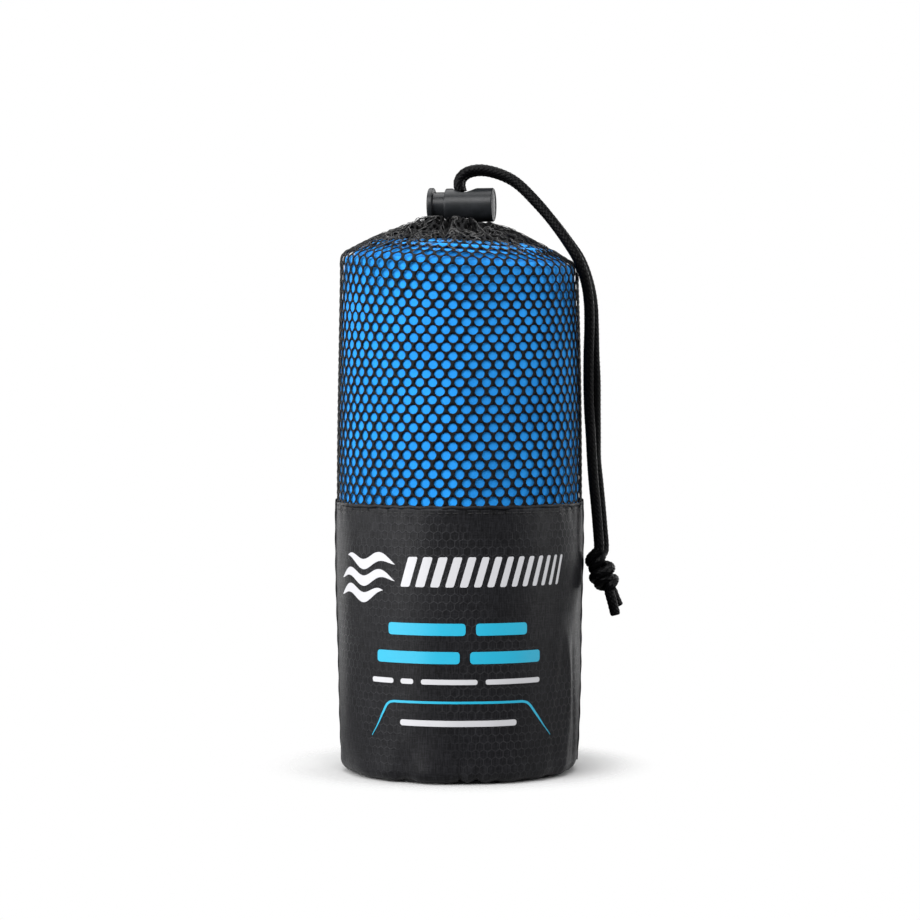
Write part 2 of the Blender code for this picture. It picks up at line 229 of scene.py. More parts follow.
def swept(name, line, half_widths, half_heights, sides=12, relief=None):
    """A closed tube of elliptical section along a line, with an optional relief(along, turn)."""
    line = np.asarray(line, float)
    _, side, up = frames_along(line)
    run = run_along(line)
    turn = np.arange(sides) * TAU / sides
    a = np.broadcast_to(np.asarray(half_widths, float), (len(line),))[:, None]
    b = np.broadcast_to(np.asarray(half_heights, float), (len(line),))[:, None]
    grow = 0.0 if relief is None else relief(run[:, None], turn[None, :])
    x, y = (a + grow) * np.cos(turn), (b + grow) * np.sin(turn)
    points = line[:, None, :] + x[..., None] * side[:, None, :] + y[..., None] * up[:, None, :]
    rings = len(line)
    faces = [list(f) for f in grid_faces(rings, sides, closed=True)]
    flat = points.reshape(-1, 3)
    flat = np.vstack([flat, line[0], line[-1]])
    start, end = rings * sides, rings * sides + 1
    for k in range(sides):
        after = (k + 1) % sides
        faces.append([start, after, k])
        faces.append([end, (rings - 1) * sides + k, (rings - 1) * sides + after])
    radius = float(np.mean(a))
    uv = np.vstack([flat_places(turn * radius, run[:, None], points.shape[:2]), [[0, 0], [0, run[-1]]]])
    return weld(new_mesh(name, flat, faces, uv))


# ---------------------------------------------------------------- material helpers

class Shader:
    """A material's node tree, with short ways to add the nodes that are used here."""

    def __init__(self, name, colour, roughness, **sockets):
        self.material = bpy.data.materials.new(name)
        self.material.use_nodes = True
        self.tree = self.material.node_tree
        self.surface = self.tree.nodes["Principled BSDF"]
        self.surface.inputs["Base Color"].default_value = (*colour, 1.0)
        self.surface.inputs["Roughness"].default_value = roughness
        for socket, value in sockets.items():
            self.surface.inputs[socket.replace("_", " ")].default_value = value

    def put(self, socket, value):
        if isinstance(value, bpy.types.NodeSocket):
            self.tree.links.new(value, socket)
        else:
            socket.default_value = value

    def set(self, name, value):
        self.put(self.surface.inputs[name], value)

    def node(self, kind, **settings):
        made = self.tree.nodes.new(kind)
        for key, value in settings.items():
            setattr(made, key, value)
        return made

    def uv(self):
        return self.node("ShaderNodeUVMap", uv_map="cloth").outputs[0]

    def place(self):
        return self.node("ShaderNodeTexCoord").outputs["Object"]

    def maths(self, operation, a, b=0.0):
        made = self.node("ShaderNodeMath", operation=operation)
        self.put(made.inputs[0], a)
        self.put(made.inputs[1], b)
        return made.outputs[0]

    def vector(self, operation, a, b=None, c=None, scale=None):
        made = self.node("ShaderNodeVectorMath", operation=operation)
        for socket, value in zip(made.inputs, (a, b, c)):
            if value is not None:
                self.put(socket, value)
        if scale is not None:
            self.put(made.inputs["Scale"], scale)
        return made.outputs["Value"] if operation in ("LENGTH", "DOT_PRODUCT") else made.outputs["Vector"]

    def noise(self, where, scale, detail=3.0, roughness=0.55):
        made = self.node("ShaderNodeTexNoise")
        self.put(made.inputs["Vector"], where)
        made.inputs["Scale"].default_value = scale
        made.inputs["Detail"].default_value = detail
        made.inputs["Roughness"].default_value = roughness
        return made.outputs["Fac"]

    def ranged(self, value, low, high, to_low=0.0, to_high=1.0):
        made = self.node("ShaderNodeMapRange", interpolation_type="SMOOTHSTEP")
        self.put(made.inputs["Value"], value)
        ends = {"From Min": low, "From Max": high, "To Min": to_low, "To Max": to_high}
        for socket, number in ends.items():
            made.inputs[socket].default_value = number
        return made.outputs["Result"]

    def mixed(self, share, first, second):
        """A mix of two colours, each a node's output or three numbers."""
        made = self.node("ShaderNodeMix", data_type="RGBA")
        self.put(made.inputs["Factor"], share)
        colours = [s for s in made.inputs if s.type == "RGBA"]
        for socket, colour in zip(colours, (first, second)):
            plain = not isinstance(colour, bpy.types.NodeSocket)
            self.put(socket, (*colour, 1.0) if plain else colour)
        return [s for s in made.outputs if s.type == "RGBA"][0]

    def split(self, vector):
        made = self.node("ShaderNodeSeparateXYZ")
        self.put(made.inputs[0], vector)
        return made.outputs

    def relief(self, height, distance, strength, under=None):
        made = self.node("ShaderNodeBump")
        made.inputs["Strength"].default_value = strength
        made.inputs["Distance"].default_value = distance
        self.put(made.inputs["Height"], height)
        if under is not None:
            self.put(made.inputs["Normal"], under)
        self.set("Normal", made.outputs[0])
        return made.outputs[0]

    def threads(self, where, pitch_u, pitch_v):
        """A plain weave's height from 0 to 1."""
        u, v, _ = self.split(where)
        a = self.maths("SINE", self.maths("MULTIPLY", u, TAU / pitch_u))
        b = self.maths("SINE", self.maths("MULTIPLY", v, TAU / pitch_v))
        return self.maths("MULTIPLY_ADD", self.maths("MULTIPLY", a, b), 0.5)


RIPSTOP_CELL = (2.9 * MM, 2.7 * MM)


def towel_material():
    s = Shader("microfibre", (0.011, 0.205, 0.590), 0.9, Specular_IOR_Level=0.12, Sheen_Weight=0.12,
               Sheen_Roughness=0.5, Sheen_Tint=(0.35, 0.7, 1.0, 1.0))
    place = s.place()
    broad = s.noise(place, 45.0, 2.0)
    nap = s.noise(place, 1800.0, 4.0, 0.7)
    tone = s.mixed(s.ranged(broad, 0.3, 0.7), (0.009, 0.180, 0.540), (0.013, 0.230, 0.660))
    tone = s.mixed(s.ranged(nap, 0.35, 0.75, 0.0, 0.30), tone, (0.035, 0.32, 0.78))
    s.set("Base Color", tone)
    tufts = s.noise(place, 520.0, 3.0, 0.6)
    under = s.relief(tufts, 0.25 * MM, 0.6)
    s.relief(nap, 0.12 * MM, 0.6, under)
    return s.material


def painted_glint_yarn_material():
    s = Shader("painted_glint_yarn", (0.05, 0.05, 0.052), 0.35)
    fleck = s.noise(s.place(), 700.0, 2.0)
    # The light grey flecks mixed into this black yarn are painted glints, not the yarn's own colour.
    dark, bright = (0.004, 0.004, 0.0045), (0.105, 0.103, 0.100)
    s.set("Base Color", s.mixed(s.ranged(fleck, 0.45, 0.68), dark, bright))
    s.relief(fleck, 0.05 * MM, 0.5)
    return s.material


def net_material():
    s = Shader("net_yarn", (0.004, 0.004, 0.0045), 0.42, Specular_IOR_Level=0.13)
    place = s.place()
    fleck = s.noise(place, 900.0, 2.0)
    dark, bright = (0.0028, 0.0028, 0.0032), (0.010, 0.010, 0.011)
    s.set("Base Color", s.mixed(s.ranged(fleck, 0.45, 0.75), dark, bright))
    s.set("Roughness", s.ranged(fleck, 0.3, 0.7, 0.34, 0.60))
    u, v, _ = s.split(s.uv())
    along_yarn = s.maths("ADD", v, s.maths("ABSOLUTE", u))
    knit = s.maths("SINE", s.maths("MULTIPLY", along_yarn, TAU / (0.42 * MM)))
    s.relief(knit, 0.07 * MM, 0.8)
    return s.material


def nylon_material():
    """A plain weave with honeycomb ribs, drawn from two staggered grids of cell centres."""
    s = Shader("ripstop_nylon", (0.010, 0.010, 0.011), 0.42, Specular_IOR_Level=0.12)
    uv = s.uv()
    lattice = (1.0, math.sqrt(3.0), 1.0)
    half = tuple(x / 2 for x in lattice)
    low = tuple(-x for x in half)
    wide, tall = RIPSTOP_CELL
    flat = s.vector("MULTIPLY", uv, (1 / wide, math.sqrt(0.75) / tall, 0.0))
    first = s.vector("WRAP", flat, half, low)
    second = s.vector("WRAP", s.vector("SUBTRACT", flat, half), half, low)
    second = s.vector("MULTIPLY", second, (1.0, 1.0, 0.0))
    nearer = s.maths("LESS_THAN", s.vector("LENGTH", first), s.vector("LENGTH", second))
    both = s.vector("ADD", s.vector("SCALE", first, scale=nearer),
                    s.vector("SCALE", second, scale=s.maths("SUBTRACT", 1.0, nearer)))
    inside = s.vector("ABSOLUTE", both)
    slanted = s.vector("DOT_PRODUCT", inside, (0.5, math.sqrt(0.75), 0.0))
    edge = s.maths("MAXIMUM", slanted, s.split(inside)[0])
    rib = s.ranged(edge, 0.425, 0.48)
    place = s.place()
    patch = s.noise(place, 60.0, 3.0)
    grain = s.noise(place, 2500.0, 2.0)
    warp = s.noise(s.vector("MULTIPLY", uv, (2600.0, 240.0, 1.0)), 1.0, 2.0)
    weft = s.noise(s.vector("MULTIPLY", uv, (240.0, 2600.0, 1.0)), 1.0, 2.0)
    slub = s.maths("ADD", s.maths("MULTIPLY", warp, 0.65), s.maths("MULTIPLY", weft, 0.35))
    clearness = s.ranged(s.noise(place, 26.0, 1.0), 0.38, 0.62, 0.12, 0.75)
    rib = s.maths("MULTIPLY", rib, clearness)
    cloth = s.mixed(s.ranged(patch, 0.3, 0.7), (0.0034, 0.0034, 0.0041), (0.0056, 0.0056, 0.0066))
    cloth = s.mixed(s.ranged(slub, 0.42, 0.62, 0.0, 0.9), cloth, (0.0145, 0.0145, 0.0166))
    cloth = s.mixed(s.ranged(grain, 0.5, 0.8, 0.0, 0.4), cloth, (0.022, 0.022, 0.024))
    # The ribs are a real honeycomb pattern; their lighter colour is a painted sheen.
    s.set("Base Color", s.mixed(s.maths("MULTIPLY", rib, 0.70), cloth, (0.026, 0.026, 0.029)))
    rough = s.ranged(slub, 0.35, 0.65, 0.50, 0.38)
    s.set("Roughness", s.maths("SUBTRACT", rough, s.maths("MULTIPLY", rib, 0.10)))
    under = s.relief(slub, 0.05 * MM, 0.5)
    under = s.relief(s.threads(uv, 0.34 * MM, 0.34 * MM), 0.02 * MM, 0.35, under)
    s.relief(rib, 0.10 * MM, 0.8, under)
    return s.material


def cord_material():
    s = Shader("braided_polyester", (0.0015, 0.0015, 0.0018), 0.42, Specular_IOR_Level=0.052)
    place = s.place()
    fibre = s.noise(place, 2200.0, 3.0, 0.7)
    dark, bright = (0.0010, 0.0010, 0.0012), (0.0050, 0.0050, 0.0056)
    s.set("Base Color", s.mixed(s.ranged(fibre, 0.4, 0.75), dark, bright))
    s.set("Roughness", s.ranged(fibre, 0.3, 0.7, 0.24, 0.42))
    s.relief(fibre, 0.06 * MM, 0.6)
    return s.material


def thread_material():
    s = Shader("sewing_thread", (0.012, 0.012, 0.013), 0.6)
    twist = s.node("ShaderNodeTexWave", bands_direction="DIAGONAL")
    s.put(twist.inputs["Vector"], s.place())
    twist.inputs["Scale"].default_value = 700.0
    s.set("Base Color", s.mixed(twist.outputs["Fac"], (0.004, 0.004, 0.0045), (0.014, 0.014, 0.015)))
    s.relief(twist.outputs["Fac"], 0.05 * MM, 0.6)
    return s.material


def plastic_material():
    s = Shader("toggle_acetal", (0.010, 0.011, 0.013), 0.30, Specular_IOR_Level=0.25)
    place = s.place()
    flow = s.noise(place, 260.0, 3.0)
    fine = s.noise(place, 3000.0, 2.0)
    worn = s.noise(place, 900.0, 5.0, 0.75)
    tone = s.mixed(s.ranged(flow, 0.35, 0.7), (0.007, 0.008, 0.009), (0.012, 0.013, 0.015))
    s.set("Base Color", s.mixed(s.ranged(worn, 0.62, 0.8, 0.0, 0.5), tone, (0.045, 0.045, 0.05)))
    s.set("Roughness", s.ranged(fine, 0.3, 0.7, 0.30, 0.42))
    s.relief(fine, 0.02 * MM, 0.4)
    return s.material


def steel_material():
    s = Shader("spring_wire", (0.55, 0.55, 0.56), 0.28, Metallic=1.0)
    drawn = s.noise(s.place(), 1500.0, 2.0)
    s.set("Roughness", s.ranged(drawn, 0.3, 0.7, 0.22, 0.38))
    return s.material


def ink_material(name, colour):
    s = Shader(name, colour, 0.5)
    wear = s.noise(s.place(), 700.0, 4.0, 0.7)
    faded = tuple(0.75 * c for c in colour)
    s.set("Base Color", s.mixed(s.ranged(wear, 0.55, 0.8, 0.0, 0.25), colour, faded))
    s.set("Roughness", s.ranged(wear, 0.3, 0.7, 0.42, 0.58))
    s.relief(wear, 0.02 * MM, 0.4)
    return s.material


TOWEL = towel_material()
NET = net_material()
PAINTED_GLINT_YARN = painted_glint_yarn_material()
NYLON = nylon_material()
CORD = cord_material()
THREAD = thread_material()
PLASTIC = plastic_material()
STEEL = steel_material()
WHITE_INK = ink_material("white_ink", (0.47, 0.47, 0.49))
CYAN_INK = ink_material("cyan_ink", (0.008, 0.33, 0.50))


def finish_with(piece, material, body="pouch"):
    piece.data.materials.clear()
    piece.data.materials.append(material)
    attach(piece, body)
    return piece


def refinish(node, material):
    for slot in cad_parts[node].material_slots:
        slot.link = "OBJECT"
        slot.material = material


# ---------------------------------------------------------------- camera, floor and light

CAMERA_PLACE = Vector((0.0002, -0.950, 0.135))
CAMERA_AIM = Vector((0.0002, 0.0, 0.1116))
SENSOR_MM, LENS_MM = 36.0, 103.2

FLOOR_RADIUS = 0.55
FLOOR_SHADE = (0.46, 0.46, 0.46)
FLOOR_CENTRE = (0.0, 0.012, 0.0)
FLOOR_FADE = (0.046, 0.074)

ROOM_LIGHT = 0.10
LIGHT_TARGET = Vector((0.0, 0.0, 0.10))
LIGHTS = (  # name, place, size in metres, watts
    ("left", (-0.92, -0.64, 0.38), (0.6, 0.9), 15.0),
    ("front", (-0.20, -0.92, 0.86), (1.2, 0.6), 18.6),
    ("right", (0.98, -0.16, 0.35), (0.6, 0.8), 7.0),
    ("left_side", (-1.05, 0.12, 0.35), (0.5, 0.8), 5.0),
    ("left_edge", (-0.55, 0.75, 0.30), (0.35, 0.8), 2.2),
    ("right_edge", (0.60, 0.72, 0.30), (0.35, 0.8), 3.0),
    ("top", (0.0, 0.14, 1.0), (0.9, 0.9), 10.0),
)


def make_camera():
    lens = bpy.data.cameras.new("camera")
    lens.sensor_width = SENSOR_MM
    lens.lens = LENS_MM
    seen = bpy.data.objects.new("camera", lens)
    seen.location = CAMERA_PLACE
    seen.rotation_euler = (CAMERA_AIM - seen.location).to_track_quat("-Z", "Y").to_euler()
    bpy.context.scene.collection.objects.link(seen)
    bpy.context.scene.camera = seen


def make_floor():
    """A disc that catches the shadow near the object and fades into the white backdrop."""
    rings, spokes = 24, 96
    radius = np.linspace(0.0, FLOOR_RADIUS, rings)[:, None]
    angle = (np.arange(spokes) * TAU / spokes)[None, :]
    points = around(angle + 0 * radius, radius + 0 * angle, -0.1 * MM).reshape(-1, 3)
    floor = weld(new_mesh("floor", points, grid_faces(rings, spokes, closed=True)))
    s = Shader("pale_floor", FLOOR_SHADE, 0.9, Specular_IOR_Level=0.0)
    away = s.vector("LENGTH", s.vector("SUBTRACT", s.place(), FLOOR_CENTRE))
    clear = s.node("ShaderNodeBsdfTransparent")
    blend = s.node("ShaderNodeMixShader")
    s.put(blend.inputs[0], s.ranged(away, *FLOOR_FADE))
    s.tree.links.new(s.surface.outputs[0], blend.inputs[1])
    s.tree.links.new(clear.outputs[0], blend.inputs[2])
    s.tree.links.new(blend.outputs[0], s.tree.nodes["Material Output"].inputs["Surface"])
    floor.data.materials.append(s.material)


def area_light(name, place, size, power):
    data = bpy.data.lights.new(name, "AREA")
    data.shape = "RECTANGLE"
    data.size, data.size_y = size
    data.energy = power
    lamp = bpy.data.objects.new(name, data)
    lamp.location = place
    lamp.rotation_euler = (LIGHT_TARGET - Vector(place)).to_track_quat("-Z", "Y").to_euler()
    bpy.context.scene.collection.objects.link(lamp)


def make_light():
    """Soft boxes in a dim room, with a white backdrop that only the camera sees."""
    world = bpy.data.worlds.new("studio")
    bpy.context.scene.world = world
    world.use_nodes = True
    tree = world.node_tree
    room = tree.nodes["Background"]
    room.inputs["Color"].default_value = (1.0, 1.0, 1.0, 1.0)
    room.inputs["Strength"].default_value = ROOM_LIGHT
    backdrop = tree.nodes.new("ShaderNodeBackground")
    backdrop.inputs["Color"].default_value = (1.0, 1.0, 1.0, 1.0)
    path = tree.nodes.new("ShaderNodeLightPath")
    choice = tree.nodes.new("ShaderNodeMixShader")
    tree.links.new(path.outputs["Is Camera Ray"], choice.inputs[0])
    tree.links.new(room.outputs[0], choice.inputs[1])
    tree.links.new(backdrop.outputs[0], choice.inputs[2])
    tree.links.new(choice.outputs[0], tree.nodes["World Output"].inputs["Surface"])
    for light in LIGHTS:
        area_light(*light)
    bpy.context.scene.view_settings.view_transform = "Standard"


# ---------------------------------------------------------------- towel

TOWEL_FLAT = (0.700, 1.400)
LAYER_PITCH = 0.90 * MM
STACK_PITCH = 4 * LAYER_PITCH
TOWEL_CLOTH = 0.78 * MM
TOWEL_OUTER = POUCH_RADIUS - 1.15 * MM
TOWEL_TOP_Z = 179.6 * MM
TOWEL_CORE = 5 * MM
RAMP_ANGLE = math.radians(150)
RAMP_SHARE = 0.20
NET_FULLNESS = 0.42 * MM
DOME_DEPTHS = np.array([0.0, 3.0, 8.0, 14.0, 22.0, 28.0, 31.0, 40.0]) * MM
DOME_RISES = np.array([0.0, 3.6, 6.8, 8.6, 9.0, 8.6, 7.0, 6.6]) * MM


def towel_radius(wound):
    """The stack's centre radius after this many turns in from the outer end."""
    whole = np.floor(wound)
    part = wound - whole
    return TOWEL_OUTER - STACK_PITCH * (0.5 + whole + smooth((part - (1 - RAMP_SHARE)) / RAMP_SHARE))


def make_towel():
    """The sheet folded in four, lengthwise, then rolled. The nested folds are at the top."""
    half = LAYER_PITCH / 2
    up = np.linspace(0.0, 1.0, 12)

    def layer(offset, share):
        return [(offset, t, 0.0) for t in share]

    def fold(centre, radius, end, side):
        turn = np.linspace(0, math.pi, 7)[1:-1]
        sign = 2 * end - 1
        return [(centre + side * radius * math.cos(a), end, sign * radius * math.sin(a)) for a in turn]

    section = layer(-3 * half, up) + fold(0.0, 3 * half, 1.0, -1)
    section += layer(3 * half, up[::-1]) + fold(2 * half, half, 0.0, 1)
    section += layer(half, up) + fold(0.0, half, 1.0, 1)
    section += layer(-half, up[::-1])
    section = np.array(section)
    flat_run = np.linspace(0, TOWEL_FLAT[0], len(section))

    wound, length = [0.0], 0.0
    while length < TOWEL_FLAT[1] and towel_radius(wound[-1]) > TOWEL_CORE:
        radius = float(towel_radius(np.array(wound[-1])))
        step = 2.6 * MM if len(wound) > 120 else 1.9 * MM
        wound.append(wound[-1] + step / (TAU * radius))
        length += step
    wound = np.array(wound)

    centre = towel_radius(wound)[:, None]
    angle = (RAMP_ANGLE + wound * TAU)[:, None]
    top_rise = np.interp(TOWEL_OUTER - centre, DOME_DEPTHS, DOME_RISES)
    top = TOWEL_TOP_Z + top_rise + 0.4 * MM * ripple(angle, centre * 0, 3, 5, 1.0)
    foot = TOWEL_FOOT + 1.6 * MM

    offset, share, beyond = section.T[:, None, :]
    z = foot + (top - foot) * share + beyond
    squeeze = 1.0 - 0.25 * smooth((share - 0.93) / 0.07)
    radius = centre + offset * squeeze
    taper = np.where(radius > 25 * MM, pouch_radius(np.clip(z, 0.02, 0.175)) - POUCH_RADIUS, 0.0)
    outside = smooth((radius - 30 * MM) / (10 * MM))
    radius = radius + taper * outside
    radius = radius - outside * 0.9 * MM * smooth((z - (top - 2.5 * MM)) / (5.0 * MM))
    radius = radius + outside * NET_FULLNESS * smooth((z - SEAM_Z) / (10 * MM))
    radius = radius - outside * 1.6 * MM * smooth((16 * MM - z) / (14 * MM))
    radius = radius + outside * 0.20 * MM * ripple(angle, z, 11, 7, 0.14)
    points = around(angle + 0 * z, radius, z)
    points[..., 2] += lean(points)

    along = np.gradient(points, axis=0)
    across = np.gradient(points, axis=1)
    normal = np.cross(along, across)
    normal /= np.linalg.norm(normal, axis=-1, keepdims=True)
    upper = points + normal * TOWEL_CLOTH / 2
    lower = points - normal * TOWEL_CLOTH / 2
    loop = np.concatenate([upper, lower[:, ::-1]], axis=1)
    rows, columns = loop.shape[:2]
    faces = [list(f) for f in grid_faces(rows, columns, closed=True)]
    for base in (0, (rows - 1) * columns):
        for k in range(len(section) - 1):
            faces.append([base + k, base + k + 1, base + columns - 2 - k, base + columns - 1 - k])
    uv = flat_places(0.0, np.concatenate([flat_run, flat_run[::-1]]), (rows, columns))
    towel = weld(new_mesh("towel_sheet", loop.reshape(-1, 3), faces, uv))
    finish_with(towel, TOWEL)
    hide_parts("towel_roll")


# ---------------------------------------------------------------- nylon sleeve and its seams

NYLON_CLOTH = 0.22 * MM
NYLON_COLUMNS = 420
CORNER_Z = BASE_CORNER + 0.4 * MM
SIDE_ANGLES = (-math.pi / 2, math.pi / 2)
SOFT_FOLDS = (  # degrees from the front, half width in degrees, height in mm
    (62, 3.2, 0.55), (70, 2.6, -0.45), (54, 3.0, -0.30), (-66, 4.0, 0.35), (-74, 3.0, -0.3))
BASE_TUCKS = (  # degrees from the front, half width in degrees, depth in mm
    (-17, 2.2, 0.8), (-1, 1.8, 1.0), (4, 1.4, -0.6), (9, 2.0, 0.9), (19, 3.0, 0.7))
STITCHES = 104
STITCH_RADIUS = 0.13 * MM


def nylon_relief(angle, z):
    """How far the nylon stands out from or in from the pouch's plain shape."""
    height = z / SEAM_Z
    out = 0.22 * MM * ripple(angle, z, 21, 6, 0.12)
    out = out + 0.10 * MM * ripple(angle, z, 22, 22, 0.05)
    under_seam = smooth((z - SEAM_Z + 9 * MM) / (9 * MM))
    out = out + 0.16 * MM * under_seam * ripple(angle, z, 23, 60, 0.30, 16)
    near_base = smooth((16 * MM - z) / (16 * MM))
    out = out + 0.70 * MM * near_base * ripple(angle, z, 24, 26, 0.20, 14)
    fold_height = smooth(z / (10 * MM)) * smooth((56 * MM - z) / (18 * MM))
    for centre, width, rise in SOFT_FOLDS:
        place = math.radians(centre) + 0.05 * np.sin(z * 90 + centre)
        out = out + rise * MM * fold_height * bump_at(angle, place, width)
    crease = smooth((14 * MM - z) / (10 * MM))
    out = out - 0.45 * MM * crease * bump_at(angle, math.radians(-9.5), 1.3)
    out = out + 0.40 * MM * crease * bump_at(angle, math.radians(-6.0), 2.6)
    tucked = smooth((9 * MM - z) / (8 * MM))
    for centre, width, depth in BASE_TUCKS:
        out = out - depth * MM * tucked * bump_at(angle, math.radians(centre), width)
    for side in SIDE_ANGLES:
        away = np.abs((angle - side + math.pi) % TAU - math.pi)
        out = out + 0.35 * MM * height * bump_at(away, 0.0, 1.6)
    return out


def nylon_point(u, v, raised=0.0):
    """A place on the nylon's outside: u along the cloth from the front, v above the floor."""
    angle = np.asarray(u, float) / POUCH_RADIUS
    v = np.asarray(v, float)
    centre = float(pouch_radius(CORNER_Z)) - BASE_CORNER
    bend = np.clip((CORNER_Z - v) / BASE_CORNER, 0.0, math.pi / 2)
    relief = nylon_relief(angle, np.maximum(v, 0.0)) + raised
    wall, corner = pouch_radius(np.maximum(v, CORNER_Z)), centre + (BASE_CORNER + relief) * np.cos(bend)
    drop = (BASE_CORNER + np.minimum(relief, 0.2 * MM)) * np.sin(bend)
    radius = np.where(v > CORNER_Z, wall + relief, corner)
    z = np.where(v > CORNER_Z, v, CORNER_Z - drop)
    return around(angle, radius, np.maximum(z, 0.1 * MM))


def make_nylon():
    low = CORNER_Z - BASE_CORNER * math.pi / 2
    foot, wall = np.linspace(low, 8 * MM, 22)[:-1], np.linspace(8 * MM, SEAM_Z - 0.3 * MM, 112)
    v = np.concatenate([foot, wall])[::-1][:, None]
    u = (np.arange(NYLON_COLUMNS) * TAU / NYLON_COLUMNS * POUCH_RADIUS)[None, :]
    points = nylon_point(u + 0 * v, v + 0 * u)
    faces = grid_faces(len(v), NYLON_COLUMNS, closed=True)[:, ::-1]
    uv = flat_places(u, v, (len(v), NYLON_COLUMNS))
    sleeve = new_mesh("nylon_cloth", points.reshape(-1, 3), faces, uv)
    mend_seam_uv(sleeve, TAU * POUCH_RADIUS)
    thicken(sleeve, NYLON_CLOTH)
    finish_with(sleeve, NYLON)
    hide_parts("nylon_sleeve")


def mend_seam_uv(piece, width):
    """Carries the cloth's coordinate on past its last column, where it would jump back to 0."""
    mesh = piece.data
    layer = mesh.uv_layers["cloth"]
    uv = np.empty(len(mesh.loops) * 2)
    layer.data.foreach_get("uv", uv)
    uv = uv.reshape(-1, 2)
    for face in mesh.polygons:
        corners = list(face.loop_indices)
        if np.ptp(uv[corners, 0]) > width / 2:
            late = uv[corners, 0] < width / 2
            uv[np.array(corners)[late], 0] += width
    layer.data.foreach_set("uv", uv.ravel())


def make_body_seam():
    """The nylon's turned edge over the net, and its top stitching, with gaps at the quarters."""
    angle = np.arange(361) * TAU / 360
    wander = 0.30 * MM * ripple(angle, 0 * angle, 31, 40, 1.0, 14)
    radius = pouch_radius(SEAM_Z) - 0.05 * MM + 0.10 * MM * ripple(angle, 0 * angle, 32, 70, 1.0, 16)
    line = around(angle, radius, SEAM_Z + wander * 0.6)
    edge = ring_tube("seam_edge", line[:-1], 0.28 * MM, 0.65 * MM, 10)
    finish_with(edge, NYLON)
    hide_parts("body_seam")

    raised = np.array([-0.12, 0.10, 0.16, 0.10, -0.12]) * MM
    height = np.full(5, SEAM_Z - 1.9 * MM)
    stitches = []
    for k in range(STITCHES):
        if k % (STITCHES // 4) == 0:
            continue
        turn = np.linspace((k + 0.14) * TAU / STITCHES, (k + 0.86) * TAU / STITCHES, 5)
        spots = nylon_point(turn * POUCH_RADIUS, height, raised)
        stitches.append(swept(f"stitch_{k}", spots, STITCH_RADIUS, STITCH_RADIUS, 6))
    joined = join(stitches, "top_stitching")
    finish_with(joined, THREAD)


def join(pieces, name):
    """One object from several, in their order."""
    points, faces, start = [], [], 0
    for piece in pieces:
        mesh = piece.data
        points += [tuple(v.co) for v in mesh.vertices]
        faces += [[start + i for i in face.vertices] for face in mesh.polygons]
        start += len(mesh.vertices)
        bpy.data.objects.remove(piece)
    return new_mesh(name, points, faces, np.zeros((len(points), 2)))


def ring_tube(name, line, half_out, half_up, sides):
    """A closed ring of elliptical section round the pouch."""
    turn = np.arange(sides) * TAU / sides
    outward = line.copy()
    outward[:, 2] = 0
    outward /= np.linalg.norm(outward, axis=1, keepdims=True)
    points = line[:, None, :] + half_out * np.cos(turn)[None, :, None] * outward[:, None, :]
    points = points + half_up * np.sin(turn)[None, :, None] * np.array([0, 0, 1.0])
    rows = len(line)
    faces = grid_faces(rows + 1, sides, closed=True) % (rows * sides)
    run = np.arange(rows) * TAU / rows * POUCH_RADIUS
    uv = flat_places(run[:, None], turn * half_up, (rows, sides))
    return weld(new_mesh(name, points.reshape(-1, 3), faces, uv))


def make_side_seams():
    """Narrow ridges where each sleeve is sewn to itself, with a nub of cloth where they end."""
    for word, angle in zip(("left", "right"), SIDE_ANGLES):
        nub = SEAM_Z + np.array([-1.0, 0.0, 0.9, 1.5]) * MM
        v = np.concatenate([np.linspace(3.5 * MM, SEAM_Z - 2 * MM, 60), nub])
        line = nylon_point(np.full(len(v), angle * POUCH_RADIUS), v, 0.05 * MM)
        line[-4:, 2] = v[-4:]
        line += around(np.full(len(v), angle), 0.10 * MM * np.sin(v * 700), 0 * v)
        wide = np.full(len(v), 0.70 * MM) + 0.08 * MM * np.sin(v * 1500)
        deep = np.full(len(v), 0.32 * MM)
        deep[-4:] = np.array([0.36, 0.44, 0.38, 0.20]) * MM
        wide[-4:] = np.array([0.9, 1.2, 0.9, 0.4]) * MM
        ridge = swept("nylon_side_seam_" + word, line, wide, deep, 12)
        finish_with(ridge, NYLON)
        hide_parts("nylon_seam_" + word)


# ---------------------------------------------------------------- net

COLUMNS = 58
ROW_PITCH = 3.2 * MM
HOLE_RADIUS = 1.70 * MM
NET_RADIUS = 43.6 * MM
COLUMN_PITCH = TAU * NET_RADIUS / COLUMNS
NET_START_Z = SEAM_Z - 3.4 * MM
NET_TO_SHOULDER = SHOULDER_CENTRE[1] + 6 * MM - NET_START_Z
EVEN_DIP = 0.7 * MM
RIM_DIP = 1.9 * MM
CROWN_THREADS = 210
NECK_LIP = np.array([(10.8, 196.4), (9.2, 196.5), (7.4, 196.1), (6.0, 195.2), (5.2, 193.2), (5.0, 190.6),
                     (5.4, 188.2)]) * MM
HEM_SECTION = (  # radius and height in mm
    (10.9, 188.0), (11.0, 192.0), (10.6, 195.0), (8.0, 196.0), (5.8, 195.0), (5.2, 192.0), (5.3, 189.0))
PLEATS = (  # share, turns round the neck, phase, turning per metre up, shift of the folded layer
    (0.50, 11, 0.6, 70, 3), (0.45, 17, 2.1, -55, -1), (0.40, 26, 4.0, 110, 2), (0.25, 7, 1.0, 0, -1))


